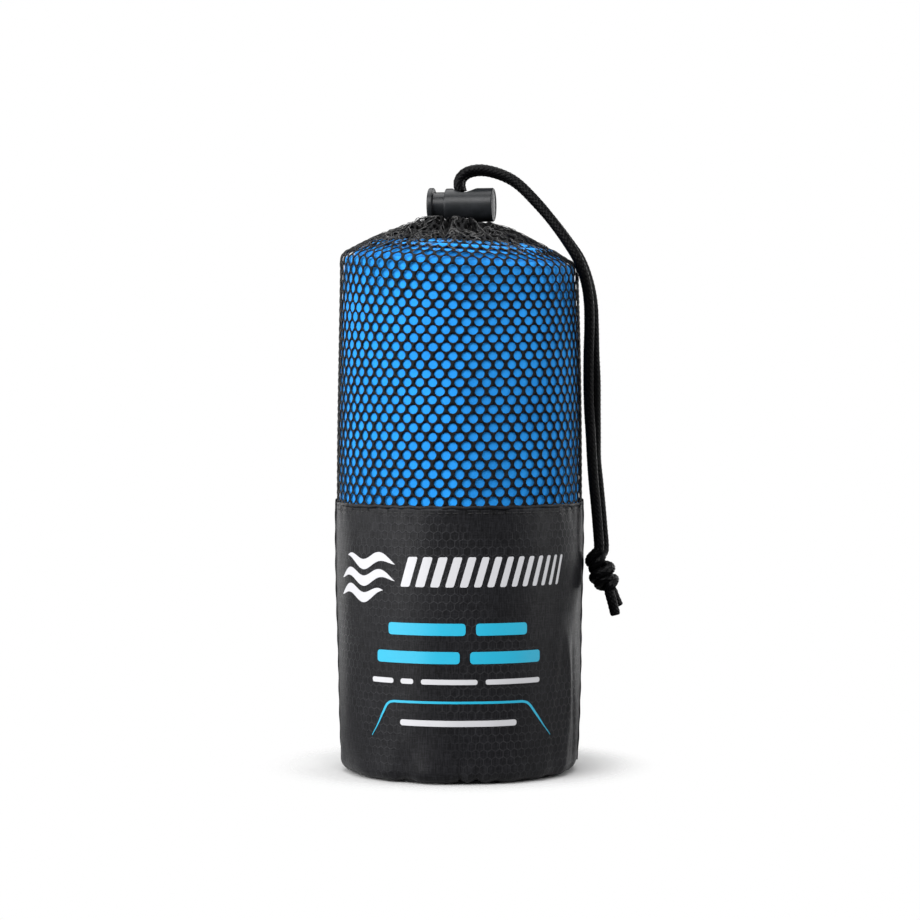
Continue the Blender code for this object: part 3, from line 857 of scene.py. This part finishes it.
def net_meridian():
    """The net's path from under the seam up over the shoulder, to the neck and into the hem."""
    heights = np.linspace(NET_START_Z, SHOULDER_CENTRE[1] - 4 * MM, 80)
    wall = np.stack([pouch_radius(heights) - 0.35 * MM, heights], axis=1)
    turn = np.linspace(0, SHOULDER_END, 12)
    shoulder = SHOULDER_CENTRE + SHOULDER_RADIUS * np.stack([np.cos(turn), np.sin(turn)], 1)
    t = np.linspace(0, 1, 30)[1:]
    radius, z = shoulder[-1]
    bulge = 4 * CROWN_BULGE * t * (1 - t)
    slope = np.stack([radius + (NECK_RADIUS - radius) * t, z + (NECK_Z - z) * t + bulge], 1)
    path = np.vstack([wall, shoulder, slope, NECK_LIP])
    path = np.column_stack([path, np.zeros(len(path))])
    return even_line(path, 0.5 * MM)[:, :2]


def net_surface(angle, run, layer):
    """Points and outward directions of the net for an angle and a distance up its path."""
    path = net_meridian()
    at = run_along(path)
    run = np.clip(run, 0, at[-1])
    radius, z = np.interp(run, at, path[:, 0]), np.interp(run, at, path[:, 1])
    dr, dz = np.gradient(path[:, 0], at), np.gradient(path[:, 1], at)
    for _ in range(6):
        dr = np.convolve(np.pad(dr, 1, "edge"), [0.25, 0.5, 0.25], "valid")
        dz = np.convolve(np.pad(dz, 1, "edge"), [0.25, 0.5, 0.25], "valid")
    out, up = np.interp(run, at, dz), -np.interp(run, at, dr)
    size = np.hypot(out, up)
    out, up = out / size, up / size
    neck = at[np.argmax(path[:, 0] < NECK_RADIUS + 0.3 * MM)]
    gather = smooth((run - NET_TO_SHOULDER) / (neck - NET_TO_SHOULDER))
    late = 1.7 * layer
    pleats = sum(
        share * np.sin(turns * angle + phase + rise * run + shift * late)
        for share, turns, phase, rise, shift in PLEATS
    )
    crumple = ripple(angle, run, 43 + layer, 34, 0.016, 18)
    lift = gather * (np.where(pleats > 0, 1.5, 2.8) * pleats + 0.9 * gather * crumple) * MM
    lift = lift + 0.10 * MM * ripple(angle, run, 41, 9, 0.10) * (1 - gather)
    lift = np.minimum(lift, (1.7 - 0.7 * gather) * MM) - 1.5 * MM * layer * np.minimum(1.0, 3 * gather)
    past_neck = smooth((run - neck) / (3 * MM))
    lift = lift * (1 - 0.75 * past_neck)
    sway = 0.06 * np.sin(9 * angle + 160 * run + late) + 0.05 * ripple(angle, run, 53 + layer, 20, 0.02)
    swing = gather**2 * sway
    points = around(angle + swing, radius + out * lift, z + up * lift)
    points[..., 2] += lean(points)
    clear_of_toggle = smooth((np.abs(points[..., 1]) - 7.2 * MM) / (3 * MM))
    points[..., 2] += 1.7 * MM * clear_of_toggle * smooth((points[..., 2] - 193.5 * MM) / (2.5 * MM))
    return points, around(angle + swing, out, up)


def net_outline():
    """Twelve places round one cell's edge: its six corners and the middles of its sides."""
    side = (ROW_PITCH**2 - COLUMN_PITCH**2 / 4) / (2 * ROW_PITCH)
    peak = (ROW_PITCH**2 + COLUMN_PITCH**2 / 4) / (2 * ROW_PITCH)
    right = [(COLUMN_PITCH / 2, -side), (COLUMN_PITCH / 2, side), (0.0, peak)]
    corner = np.array(right + [(-u, -v) for u, v in right])
    return np.stack([corner, (corner + np.roll(corner, -1, axis=0)) / 2], axis=1).reshape(-1, 2)


def net_cells(first_row, last_row, layer):
    """Staggered rows of round holes, thick between neighbours in a row and thin on the slant."""
    outline = net_outline()
    facing = np.arctan2(outline[:, 1], outline[:, 0])
    row, column = np.meshgrid(np.arange(first_row, last_row), np.arange(COLUMNS), indexing="ij")
    u = (column + 0.5 * (row % 2)) * COLUMN_PITCH
    v = ROW_PITCH * (row + 0.9)
    gather = smooth((v - NET_TO_SHOULDER) / (28 * MM))
    rng = np.random.default_rng(8 + layer)
    wide = HOLE_RADIUS * (1 + rng.normal(0, 0.03, u.shape)) * (1 - 0.30 * gather)
    tall = HOLE_RADIUS * (1 + rng.normal(0, 0.03, u.shape)) * (1 - 0.06 * gather)
    shift = rng.normal(0, 0.06 * MM, (*u.shape, 1, 2))
    hole = np.stack([wide[..., None] * np.cos(facing), tall[..., None] * np.sin(facing)], -1) + shift
    rim = np.broadcast_to(outline, hole.shape)
    rings = np.stack([hole, 0.5 * (hole + rim), rim], axis=2)
    place = rings + np.stack([u, v], -1)[:, :, None, None, :]

    angle = place[..., 0] / NET_RADIUS
    run = place[..., 1]
    rise, fall = smooth((run - 30 * MM) / (55 * MM)), smooth((run - 95 * MM) / (24 * MM))
    dip = EVEN_DIP + RIM_DIP * rise * (1 - fall)
    surface, normal = net_surface(angle, run - dip * np.cos(angle) ** 2, layer)
    half = np.array([0.0, 0.17, 0.21]) * MM
    web = 1.0 + 0.35 * np.abs(np.cos(facing))
    grow = half[:, None] * web[None, :] * np.ones_like(angle)
    bottom = (row == first_row)[:, :, None, None] & (rings[..., 1] < -1.2 * MM)
    top = (row == last_row - 1)[:, :, None, None] & (rings[..., 1] > 1.2 * MM)
    grow = np.where(bottom | top, 0.0, grow)[..., None]

    cells, around_hole = row.size, len(outline)
    sheets = [(surface + normal * grow), (surface - normal * grow)]
    points = np.concatenate([sheet.reshape(cells, 3, around_hole, 3) for sheet in sheets], axis=1)
    k = np.arange(around_hole)
    after = (k + 1) % around_hole
    faces = []
    for side in (0, 1):
        for ring in (0, 1):
            a, b = (side * 3 + ring) * around_hole, (side * 3 + ring + 1) * around_hole
            quad = np.stack([a + k, a + after, b + after, b + k], 1)
            faces.append(quad if side else quad[:, ::-1])
    faces = np.vstack(faces)[None] + (np.arange(cells) * 6 * around_hole)[:, None, None]
    flat = np.concatenate([place.reshape(cells, 3, around_hole, 2)] * 2, axis=1)
    return points.reshape(-1, 3), faces.reshape(-1, 4), flat.reshape(-1, 2)


def make_net():
    """The net sleeve, and the folds that lie under its crown where it is drawn together."""
    length = length_of(net_meridian())
    rows = int(length / ROW_PITCH) - 1
    first_fold = int((NET_TO_SHOULDER + 2 * MM) / ROW_PITCH)
    points, faces, flat = net_cells(0, rows, 0)
    fold_points, fold_faces, fold_flat = net_cells(first_fold, rows - 2, 1)
    faces = np.vstack([faces, fold_faces + len(points)])
    net = new_mesh("net_cloth", np.vstack([points, fold_points]), faces, np.vstack([flat, fold_flat]))
    weld(net, 2e-6)
    finish_with(net, NET)
    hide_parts("net_sleeve", "net_crown")


def make_crown_threads():
    """Thin yarns that stand out of the gathered folds and catch the light; their light grey flecks are
    painted glints on black yarn.
    """
    rng = np.random.default_rng(77)
    length = length_of(net_meridian())
    threads = []
    for k in range(CROWN_THREADS):
        start = rng.uniform(NET_TO_SHOULDER - 1 * MM, length - 22 * MM)
        run = np.arange(start, min(start + rng.uniform(5, 16) * MM, length - 12 * MM), 0.35 * MM)
        share = (run - start) / (run[-1] - start)
        reach = 0.5 * TAU / COLUMNS * rng.uniform(0.5, 1.3)
        swing = reach * np.sin(TAU * run / (2.0 * ROW_PITCH) + rng.uniform(0, TAU))
        angle = rng.uniform(0, TAU) + swing + rng.normal(0, 0.12) * share
        spots, normal = net_surface(angle, run, 0)
        lift = (0.55 * np.sin(math.pi * share) * rng.uniform(0.3, 1.2) + 0.12) * MM
        line = spots + normal * lift[:, None]
        threads.append(swept(f"crown_thread_{k}", line, 0.11 * MM, 0.09 * MM, 5))
    yarns = join(threads, "crown_threads")
    finish_with(yarns, PAINTED_GLINT_YARN)


def make_hem():
    """The hem's channel, gathered in small pleats round the cord."""
    steps, columns = 40, 240
    section = [(radius * MM, z * MM, 0.0) for radius, z in HEM_SECTION]
    profile = smooth_line(section, 0.6 * MM)[:, :2]
    profile = profile[np.linspace(0, len(profile) - 1, steps).round().astype(int)]
    angle = (np.arange(columns) * TAU / columns)[None, :]
    radius, z = profile[:, 0][:, None], profile[:, 1][:, None]
    pleat = np.sin(31 * angle + 2.0 * np.sin(5 * angle)) + 0.5 * np.sin(19 * angle + z * 400)
    points = around(angle, radius + 0.28 * MM * pleat, z + 0.12 * MM * pleat)
    flat = flat_places(angle * 8 * MM, z, points.shape[:2])
    hem = new_mesh("hem_channel", points.reshape(-1, 3), grid_faces(steps, columns, closed=True), flat)
    thicken(hem, 0.35 * MM)
    finish_with(hem, NET)
    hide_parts("neck_hem")


def overlock(run, turn):
    """The zigzag thread's height along and round a net seam."""
    return 0.09 * MM * np.sin(run * TAU / (1.1 * MM) + 2 * turn)


def make_net_seams():
    """The net's two side seams, overlocked in a zigzag."""
    for word, angle in zip(("left", "right"), SIDE_ANGLES):
        run = np.linspace(4 * MM, 118 * MM, 150)
        spots, normal = net_surface(np.full(len(run), angle), run, 0)
        line = spots + normal * 0.10 * MM
        zigzag = swept("net_side_seam_" + word, line, 0.85 * MM, 0.40 * MM, 10, overlock)
        finish_with(zigzag, NET)
        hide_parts("net_seam_" + word)


# ---------------------------------------------------------------- printed graphics

INK_RAISED = 0.07 * MM
INK_THICKNESS = 0.04 * MM
WAVES = ((2.6, 25.0), (0.0, 30.0), (-2.6, 25.0))  # shift and width in mm, from the top down
STRIPES = 14
WORD_ROWS = (  # height in mm, start and end in degrees, first bar's share
    (54.2, -34.0, 32.0, 0.60), (44.4, -40.7, 39.6, 0.54))
SMALL_BARS = (9.4, 5.0, 20.0, 21.4)  # widths in mm
BRACKET = (  # degrees from the front, height in mm
    (-45.3, 16.2), (-41.5, 20.2), (-37.6, 25.2), (-35.3, 27.8), (-32.5, 28.7), (-28.0, 28.8), (-10.0, 28.9),
    (10.0, 28.9), (26.5, 28.8), (31.0, 28.7), (34.0, 27.7), (37.6, 24.6), (42.6, 20.2), (47.8, 16.2))


def ink_patch(columns, rows, place):
    """Points and faces of one printed shape; place(s, t) gives (u, v) for s and t from 0 to 1."""
    s, t = np.meshgrid(np.linspace(0, 1, columns), np.linspace(0, 1, rows))
    u, v = place(s, t)
    return nylon_point(u, v, INK_RAISED).reshape(-1, 3), grid_faces(rows, columns)


def rounded_bar(u, v, wide, tall, round_off, slant=0.0):
    """A bar with rounded corners; slant leans its top to the right, as a share of its height."""
    columns = max(4, int(wide / (0.5 * MM)))
    rows = max(9, int(tall / (0.5 * MM)))

    def place(s, t):
        rise = 0.5 * tall * np.sin((t - 0.5) * math.pi)
        near_end = np.clip((0.5 * tall - np.abs(rise)) / round_off, 0.0, 1.0)
        half = 0.5 * wide - round_off * (1.0 - np.sqrt(1.0 - (1.0 - near_end) ** 2))
        return u + slant * rise + (2 * s - 1) * half, v + rise

    return ink_patch(columns, rows, place)


def wave_stripe(u, v, wide, tall, swell, wave):
    """A level wave, thickest in the middle and pointed at both ends."""

    def place(s, t):
        across = u + (s - 0.5) * wide
        half = 0.5 * tall * (1.0 - np.abs(2 * s - 1) ** 2.6)
        return across, v + swell * np.sin(TAU * across / wave) + (2 * t - 1) * half

    return ink_patch(90, 5, place)


def drawn_line(corners, width, end_width):
    """A line through (u, v) corners, rounded where it turns and thinner towards its ends."""
    fine = smooth_line([(*c, 0.0) for c in corners], 0.5 * MM)[:, :2]
    along = np.gradient(fine, axis=0)
    along /= np.linalg.norm(along, axis=1, keepdims=True)
    across = np.stack([-along[:, 1], along[:, 0]], 1)
    share = np.linspace(0, 1, len(fine))
    half = 0.5 * (end_width + (width - end_width) * smooth(np.minimum(share, 1 - share) / 0.16))
    side = np.linspace(-1, 1, 3)
    flat = fine[:, None, :] + side[None, :, None] * half[:, None, None] * across[:, None, :]
    points = nylon_point(flat[..., 0], flat[..., 1], INK_RAISED).reshape(-1, 3)
    return points, grid_faces(len(fine), 3)[:, ::-1]


def printed(name, shapes, material):
    """One piece of ink from several shapes. It is shaded flat, because rounding would show at its edges."""
    points, faces, start = [], [], 0
    for some_points, some_faces in shapes:
        points.append(some_points)
        faces.append(np.asarray(some_faces) + start)
        start += len(some_points)
    ink = new_mesh(name, np.vstack(points), np.vstack(faces), soft=False)
    thicken(ink, INK_THICKNESS)
    finish_with(ink, material)


def arc_length(degrees):
    """How far along the cloth an angle from the front is."""
    return math.radians(degrees) * POUCH_RADIUS


def make_print():
    """Plain shapes in place of lettering: waves, slanted stripes, and a bar for each word."""
    white, cyan = [], []
    for step, (shift, wide) in enumerate(WAVES):
        u, v = arc_length(-50) + shift * MM, (77.4 - 5.8 * step) * MM
        white.append(wave_stripe(u, v, wide * MM, 3.6 * MM, 1.5 * MM, 17.0 * MM))
    left, right = arc_length(-25.5), arc_length(53.0)
    widths = np.linspace(3.5, 1.3, STRIPES) * MM
    gap = (right - left - widths.sum()) / (STRIPES - 1)
    at = left + np.concatenate([[0], np.cumsum(widths + gap)[:-1]]) + widths / 2
    for u, wide in zip(at, widths):
        white.append(rounded_bar(u, 74.0 * MM, wide, 10.4 * MM, 0.6 * MM, 0.30))
    for v, start, end, share in WORD_ROWS:
        low, high, space = arc_length(start), arc_length(end), 3.6 * MM
        first = (high - low - space) * share
        second = high - low - space - first
        cyan.append(rounded_bar(low + first / 2, v * MM, first, 4.2 * MM, 1.1 * MM))
        cyan.append(rounded_bar(high - second / 2, v * MM, second, 4.2 * MM, 1.1 * MM))
    at = arc_length(-44.0)
    for wide in SMALL_BARS:
        white.append(rounded_bar(at + wide * MM / 2, 36.0 * MM, wide * MM, 1.8 * MM, 0.8 * MM))
        at += (wide + 2.9) * MM
    white.append(rounded_bar(arc_length(-0.6), 21.6 * MM, 43.0 * MM, 2.1 * MM, 0.9 * MM))
    bracket = [(arc_length(degrees), z * MM) for degrees, z in BRACKET]
    cyan.append(drawn_line(bracket, 0.85 * MM, 0.25 * MM))
    printed("print_white", white, WHITE_INK)
    printed("print_cyan", cyan, CYAN_INK)


# ---------------------------------------------------------------- drawcord

CORD_SEAT = -0.2 * MM
CORD_SPREAD = 1.9 * MM
STRAND_START = 208.1 * MM
FREE_END_Z = 79.95 * MM

STRAND_A_ROUTE = [
    (-0.00035, -0.00195, 0.2106), (0.00045, -0.00200, 0.2131), (0.00330, -0.00220, 0.2152),
    (0.00840, -0.00260, 0.2158), (0.01490, -0.00350, 0.2141), (0.02070, -0.00460, 0.2108),
    (0.02750, -0.00630, 0.2039), (0.03320, -0.00780, 0.1969), (0.03820, -0.00920, 0.1898),
    (0.04230, -0.01000, 0.1829), (0.04490, -0.00940, 0.1756), (0.04610, -0.00820, 0.1685),
    (0.04640, -0.00680, 0.1600), (0.04620, -0.00550, 0.1500), (0.04620, -0.00440, 0.1400),
    (0.04650, -0.00350, 0.1300), (0.04710, -0.00290, 0.1210), (0.04760, -0.00250, 0.1120),
    (0.04820, -0.00220, 0.1040), (0.04900, -0.00200, 0.0960), (0.04970, -0.00190, 0.0880),
    (0.05020, -0.00180, FREE_END_Z),
]
STRAND_B_ROUTE = [
    (0.00040, 0.00185, 0.2106), (0.00115, 0.00185, 0.2131), (0.00390, 0.00175, 0.2150),
    (0.00890, 0.00140, 0.2155), (0.01530, 0.00060, 0.2138), (0.02120, -0.00050, 0.2104),
    (0.02790, -0.00220, 0.2036), (0.03370, -0.00370, 0.1968), (0.03880, -0.00510, 0.1900),
    (0.04320, -0.00590, 0.1834), (0.04610, -0.00530, 0.1758), (0.04770, -0.00430, 0.1680),
    (0.04820, -0.00320, 0.1600), (0.04850, -0.00200, 0.1500), (0.04900, -0.00090, 0.1400),
    (0.04910, 0.00010, 0.1300), (0.04920, 0.00090, 0.1210), (0.04930, 0.00120, 0.1120),
    (0.05010, 0.00150, 0.1040), (0.05090, 0.00160, 0.0960), (0.05160, 0.00170, 0.0880),
    (0.05220, 0.00180, FREE_END_Z),
]
# In the knot both strands are wound twice, one outside and one between its turns.
KNOT_A_ROUTE = [
    (0.0490, -0.0016, 0.0780), (0.0475, -0.0008, 0.0764), (0.0472, 0.0013, 0.0748),
    (0.0487, 0.0034, 0.0738), (0.0516, 0.0040, 0.0735), (0.0540, 0.0026, 0.0731),
    (0.0543, -0.0008, 0.0724), (0.0526, -0.0033, 0.0717), (0.0500, -0.0034, 0.0708),
    (0.0485, -0.0014, 0.0696), (0.0490, 0.0018, 0.0685), (0.0512, 0.0038, 0.0677),
    (0.0540, 0.0038, 0.0680), (0.0557, 0.0018, 0.0686), (0.0555, -0.0010, 0.0680),
    (0.0544, -0.0024, 0.0664),
]
KNOT_B_ROUTE = [
    (0.0513, 0.0002, 0.0775), (0.0504, -0.0020, 0.0756), (0.0487, -0.0014, 0.0736),
    (0.0484, 0.0007, 0.0721), (0.0504, 0.0021, 0.0712), (0.0532, 0.0013, 0.0705),
    (0.0537, -0.0014, 0.0695), (0.0517, -0.0027, 0.0685), (0.0502, -0.0012, 0.0673),
    (0.0508, 0.0008, 0.0663), (0.0530, 0.0017, 0.0659),
]
TAIL_A_ROUTE = [(0.05395, -0.0020, 0.0647), (0.0551, -0.0022, 0.0602), (0.0562, -0.0023, 0.0558)]
TAIL_B_ROUTE = [(0.05490, 0.0020, 0.0648), (0.0563, 0.0021, 0.0615), (0.0576, 0.0021, 0.0587)]

CARRIERS = 8
BRAID_PITCH = 1.7 * MM
BRAID_RELIEF = 0.34 * MM
CORD_CORE = CORD_DIAMETER / 2 - 0.16 * MM


def on_toggle(along, across, height):
    """A place given along and across the toggle's axis, at a height in the world."""
    flat = Matrix.Rotation(TOGGLE_YAW, 4, "Z") @ Vector((along, across, 0.0))
    return (TOGGLE_CENTRE.x + flat.x, TOGGLE_CENTRE.y + flat.y, height)


def braid(run, turn):
    """Yarns winding both ways round the cord, each over one and under the next."""
    a = CARRIERS * turn / TAU + run / BRAID_PITCH
    b = CARRIERS * turn / TAU - run / BRAID_PITCH

    def yarn(across, along):
        number = np.round(across)
        body = np.sqrt(np.clip(1.0 - ((across - number) / 0.50) ** 2, 0.0, 1.0))
        return body * 0.75 + 0.45 * np.cos(math.pi * (along + number)) - 0.45

    return BRAID_RELIEF * np.maximum(yarn(a, b), yarn(b, a + 1.0))


def cut_end(line, radius):
    """The cord's half width along its line: it narrows a little where each end was heat sealed."""
    run = run_along(line)
    left = run[-1] - run
    return radius * (1.0 - 0.22 * np.clip(1.0 - left / (0.7 * MM), 0.0, 1.0) ** 2)


def make_cords():
    plans = (
        ("drawcord_a", -1, STRAND_A_ROUTE + KNOT_A_ROUTE + TAIL_A_ROUTE,
         ("drawcord_strand_a", "drawcord_tail_a")),
        ("drawcord_b", 1, STRAND_B_ROUTE + KNOT_B_ROUTE + TAIL_B_ROUTE,
         ("drawcord_strand_b", "drawcord_tail_b", "drawcord_knot")),
    )
    for name, side, route, nodes in plans:
        exit_point = on_toggle(CORD_SEAT, side * CORD_SPREAD, STRAND_START)
        line = smooth_line([exit_point, *route], 0.30 * MM)
        width = cut_end(line, CORD_CORE)
        cord = swept(name, line, width, width, 48, braid)
        finish_with(cord, CORD, "toggle")
        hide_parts(*nodes)


# ---------------------------------------------------------------- toggle

BARREL_RADIUS = 6.05 * MM
BARREL_BORE = 5.05 * MM
BARREL_OPEN, BARREL_CLOSED = -5.59 * MM, 11.83 * MM
CORD_HOLE = (1.2 * MM, 9.0 * MM, 8.3 * MM)
PLUNGER_RADIUS = 4.75 * MM
PLUNGER_INNER_END = 4.6 * MM
PLUNGER_SLOT = (-5.3 * MM, 2.25 * MM, 8.1 * MM)
FLANGE_RADIUS = 6.3 * MM
FLANGE_FACE, FLANGE_BACK = -9.93 * MM, -11.83 * MM
END_WALL = 1.2 * MM
END_DISH = 0.30 * MM
END_ROUND = 0.55 * MM
MOUTH_ROUND = 0.35 * MM
BORE_ROUND = 0.25 * MM
SHAFT_ROUND = 0.35 * MM
FLANGE_ROUNDS = (0.4 * MM, 0.5 * MM)
CUTTER_REACH = 12 * MM
EDGE_ANGLE = math.radians(38)


def arc(centre, radius, start, end, steps):
    """Outline points along an arc, angles in degrees from the outward direction."""
    turn = np.radians(np.linspace(start, end, steps))
    return [(centre[0] + radius * math.cos(a), centre[1] + radius * math.sin(a)) for a in turn]


def turned(name, outline, steps=96):
    """A closed solid turned about the toggle's axis from (radius, along) points."""
    outline = np.asarray(outline, float)
    turn = np.arange(steps) * TAU / steps
    radius, along = outline[:, 0][:, None], outline[:, 1][:, None]
    points = np.stack([radius * np.cos(turn), radius * np.sin(turn), along + 0 * turn], -1)
    solid = weld(new_mesh(name, points.reshape(-1, 3), grid_faces(len(outline), steps, closed=True)))
    solid.location = TOGGLE_CENTRE
    solid.rotation_euler = (0.0, math.pi / 2, TOGGLE_YAW)
    return solid


def cut(solid, cutter, edge):
    """Cuts one closed solid from another and rounds the new edges."""
    hole = solid.modifiers.new("cut", "BOOLEAN")
    hole.operation = "DIFFERENCE"
    hole.object = cutter
    hole.solver = "EXACT"
    bpy.context.view_layer.update()
    shaped = bpy.data.meshes.new_from_object(solid.evaluated_get(bpy.context.evaluated_depsgraph_get()))
    solid.modifiers.clear()
    solid.data = shaped
    bpy.data.objects.remove(cutter)
    rounding = solid.modifiers.new("rounded edges", "BEVEL")
    rounding.width = edge
    rounding.segments = 3
    rounding.limit_method = "ANGLE"
    rounding.angle_limit = EDGE_ANGLE
    rounding.harden_normals = True
    solid.data.shade_smooth()
    solid.data.set_sharp_from_angle(angle=EDGE_ANGLE)


def make_toggle():
    """The barrel with its cord hole and dished end, and the plunger with its slot and flange."""
    end = BARREL_CLOSED
    outline = [(0.0, end - END_DISH), (4.55 * MM, end - END_DISH), (4.75 * MM, end - 0.18 * MM),
               (4.9 * MM, end - 0.02 * MM), (5.05 * MM, end)]
    outline += arc((BARREL_RADIUS - END_ROUND, end - END_ROUND), END_ROUND, 90, 0, 6)
    outline += [(BARREL_RADIUS, z) for z in np.linspace(end - END_WALL, BARREL_OPEN + 1.0 * MM, 10)]
    outline += arc((BARREL_RADIUS - MOUTH_ROUND, BARREL_OPEN + MOUTH_ROUND), MOUTH_ROUND, 0, -90, 5)
    outline += arc((BARREL_BORE + BORE_ROUND, BARREL_OPEN + BORE_ROUND), BORE_ROUND, -90, -180, 4)
    outline += [(BARREL_BORE, end - END_WALL), (0.0, end - END_WALL)]
    barrel = turned("toggle_barrel_shell", outline)
    along, length, width = CORD_HOLE
    reach = CUTTER_REACH
    bore = turned("cord_bore", [(0, reach), (0.5, reach), (0.5, -reach), (0, -reach)], 64)
    bore.data.transform(Matrix.Diagonal((length, width, 1.0, 1.0)))
    bore.location = on_toggle(along, 0.0, TOGGLE_CENTRE.z)
    bore.rotation_euler = (0.0, 0.0, TOGGLE_YAW)
    cut(barrel, bore, 0.30 * MM)
    finish_with(barrel, PLASTIC, "toggle")
    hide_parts("toggle_barrel")

    outline = [(0.0, PLUNGER_INNER_END), (PLUNGER_RADIUS - 0.3 * MM, PLUNGER_INNER_END)]
    outline += [(PLUNGER_RADIUS, PLUNGER_INNER_END - 0.3 * MM)]
    outline += arc((PLUNGER_RADIUS + SHAFT_ROUND, FLANGE_FACE + SHAFT_ROUND), SHAFT_ROUND, 180, 270, 5)
    front, back = FLANGE_ROUNDS
    outline += arc((FLANGE_RADIUS - front, FLANGE_FACE - front), front, 90, 0, 5)
    outline += arc((FLANGE_RADIUS - back, FLANGE_BACK + back), back, 0, -90, 5)
    outline += [(4.4 * MM, FLANGE_BACK), (4.2 * MM, FLANGE_BACK + 0.25 * MM)]
    outline += [(0.0, FLANGE_BACK + 0.35 * MM)]
    plunger = turned("toggle_plunger_body", outline)
    low, high, width = PLUNGER_SLOT
    half = np.array([(high - low) / 2, width / 2, CUTTER_REACH])
    corners = np.array([(x, y, z) for x in (-1, 1) for y in (-1, 1) for z in (-1, 1)]) * half
    sides = [(0, 1, 3, 2), (4, 6, 7, 5), (0, 4, 5, 1), (2, 3, 7, 6), (0, 2, 6, 4), (1, 5, 7, 3)]
    slot = new_mesh("plunger_slot", corners, sides, soft=False)
    slot.location = on_toggle((low + high) / 2, 0.0, TOGGLE_CENTRE.z)
    slot.rotation_euler = (0.0, 0.0, TOGGLE_YAW)
    cut(plunger, slot, 0.20 * MM)
    finish_with(plunger, PLASTIC, "plunger")
    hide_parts("toggle_plunger")


SPRING_RADIUS = 3.2 * MM
SPRING_WIRE = 0.25 * MM
SPRING_SPAN = (5.2 * MM, 10.0 * MM)
SPRING_TURNS = 4.5


def make_spring():
    """The coil between the plunger and the barrel's closed end."""
    low, high = SPRING_SPAN
    share = np.linspace(0.0, 1.0, 160)
    turn = TAU * SPRING_TURNS * share
    x, y = SPRING_RADIUS * np.cos(turn), SPRING_RADIUS * np.sin(turn)
    coil = np.stack([x, y, low + (high - low) * share], 1)
    across = Matrix.Rotation(TOGGLE_YAW, 3, "Z") @ Matrix.Rotation(math.pi / 2, 3, "Y")
    line = [tuple(TOGGLE_CENTRE + across @ Vector(p)) for p in coil]
    spring = swept("spring_coil", line, SPRING_WIRE, SPRING_WIRE, 10)
    finish_with(spring, STEEL, "toggle")
    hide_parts("toggle_spring")
    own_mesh(spring)


# ---------------------------------------------------------------- run

make_camera()
make_floor()
make_light()
make_towel()
make_nylon()
make_body_seam()
make_side_seams()
make_net()
make_crown_threads()
make_hem()
make_net_seams()
make_print()
make_cords()
make_toggle()
make_spring()
refinish("base_panel", NYLON)
refinish("base_seam", THREAD)
refinish("drawcord_loop", CORD)
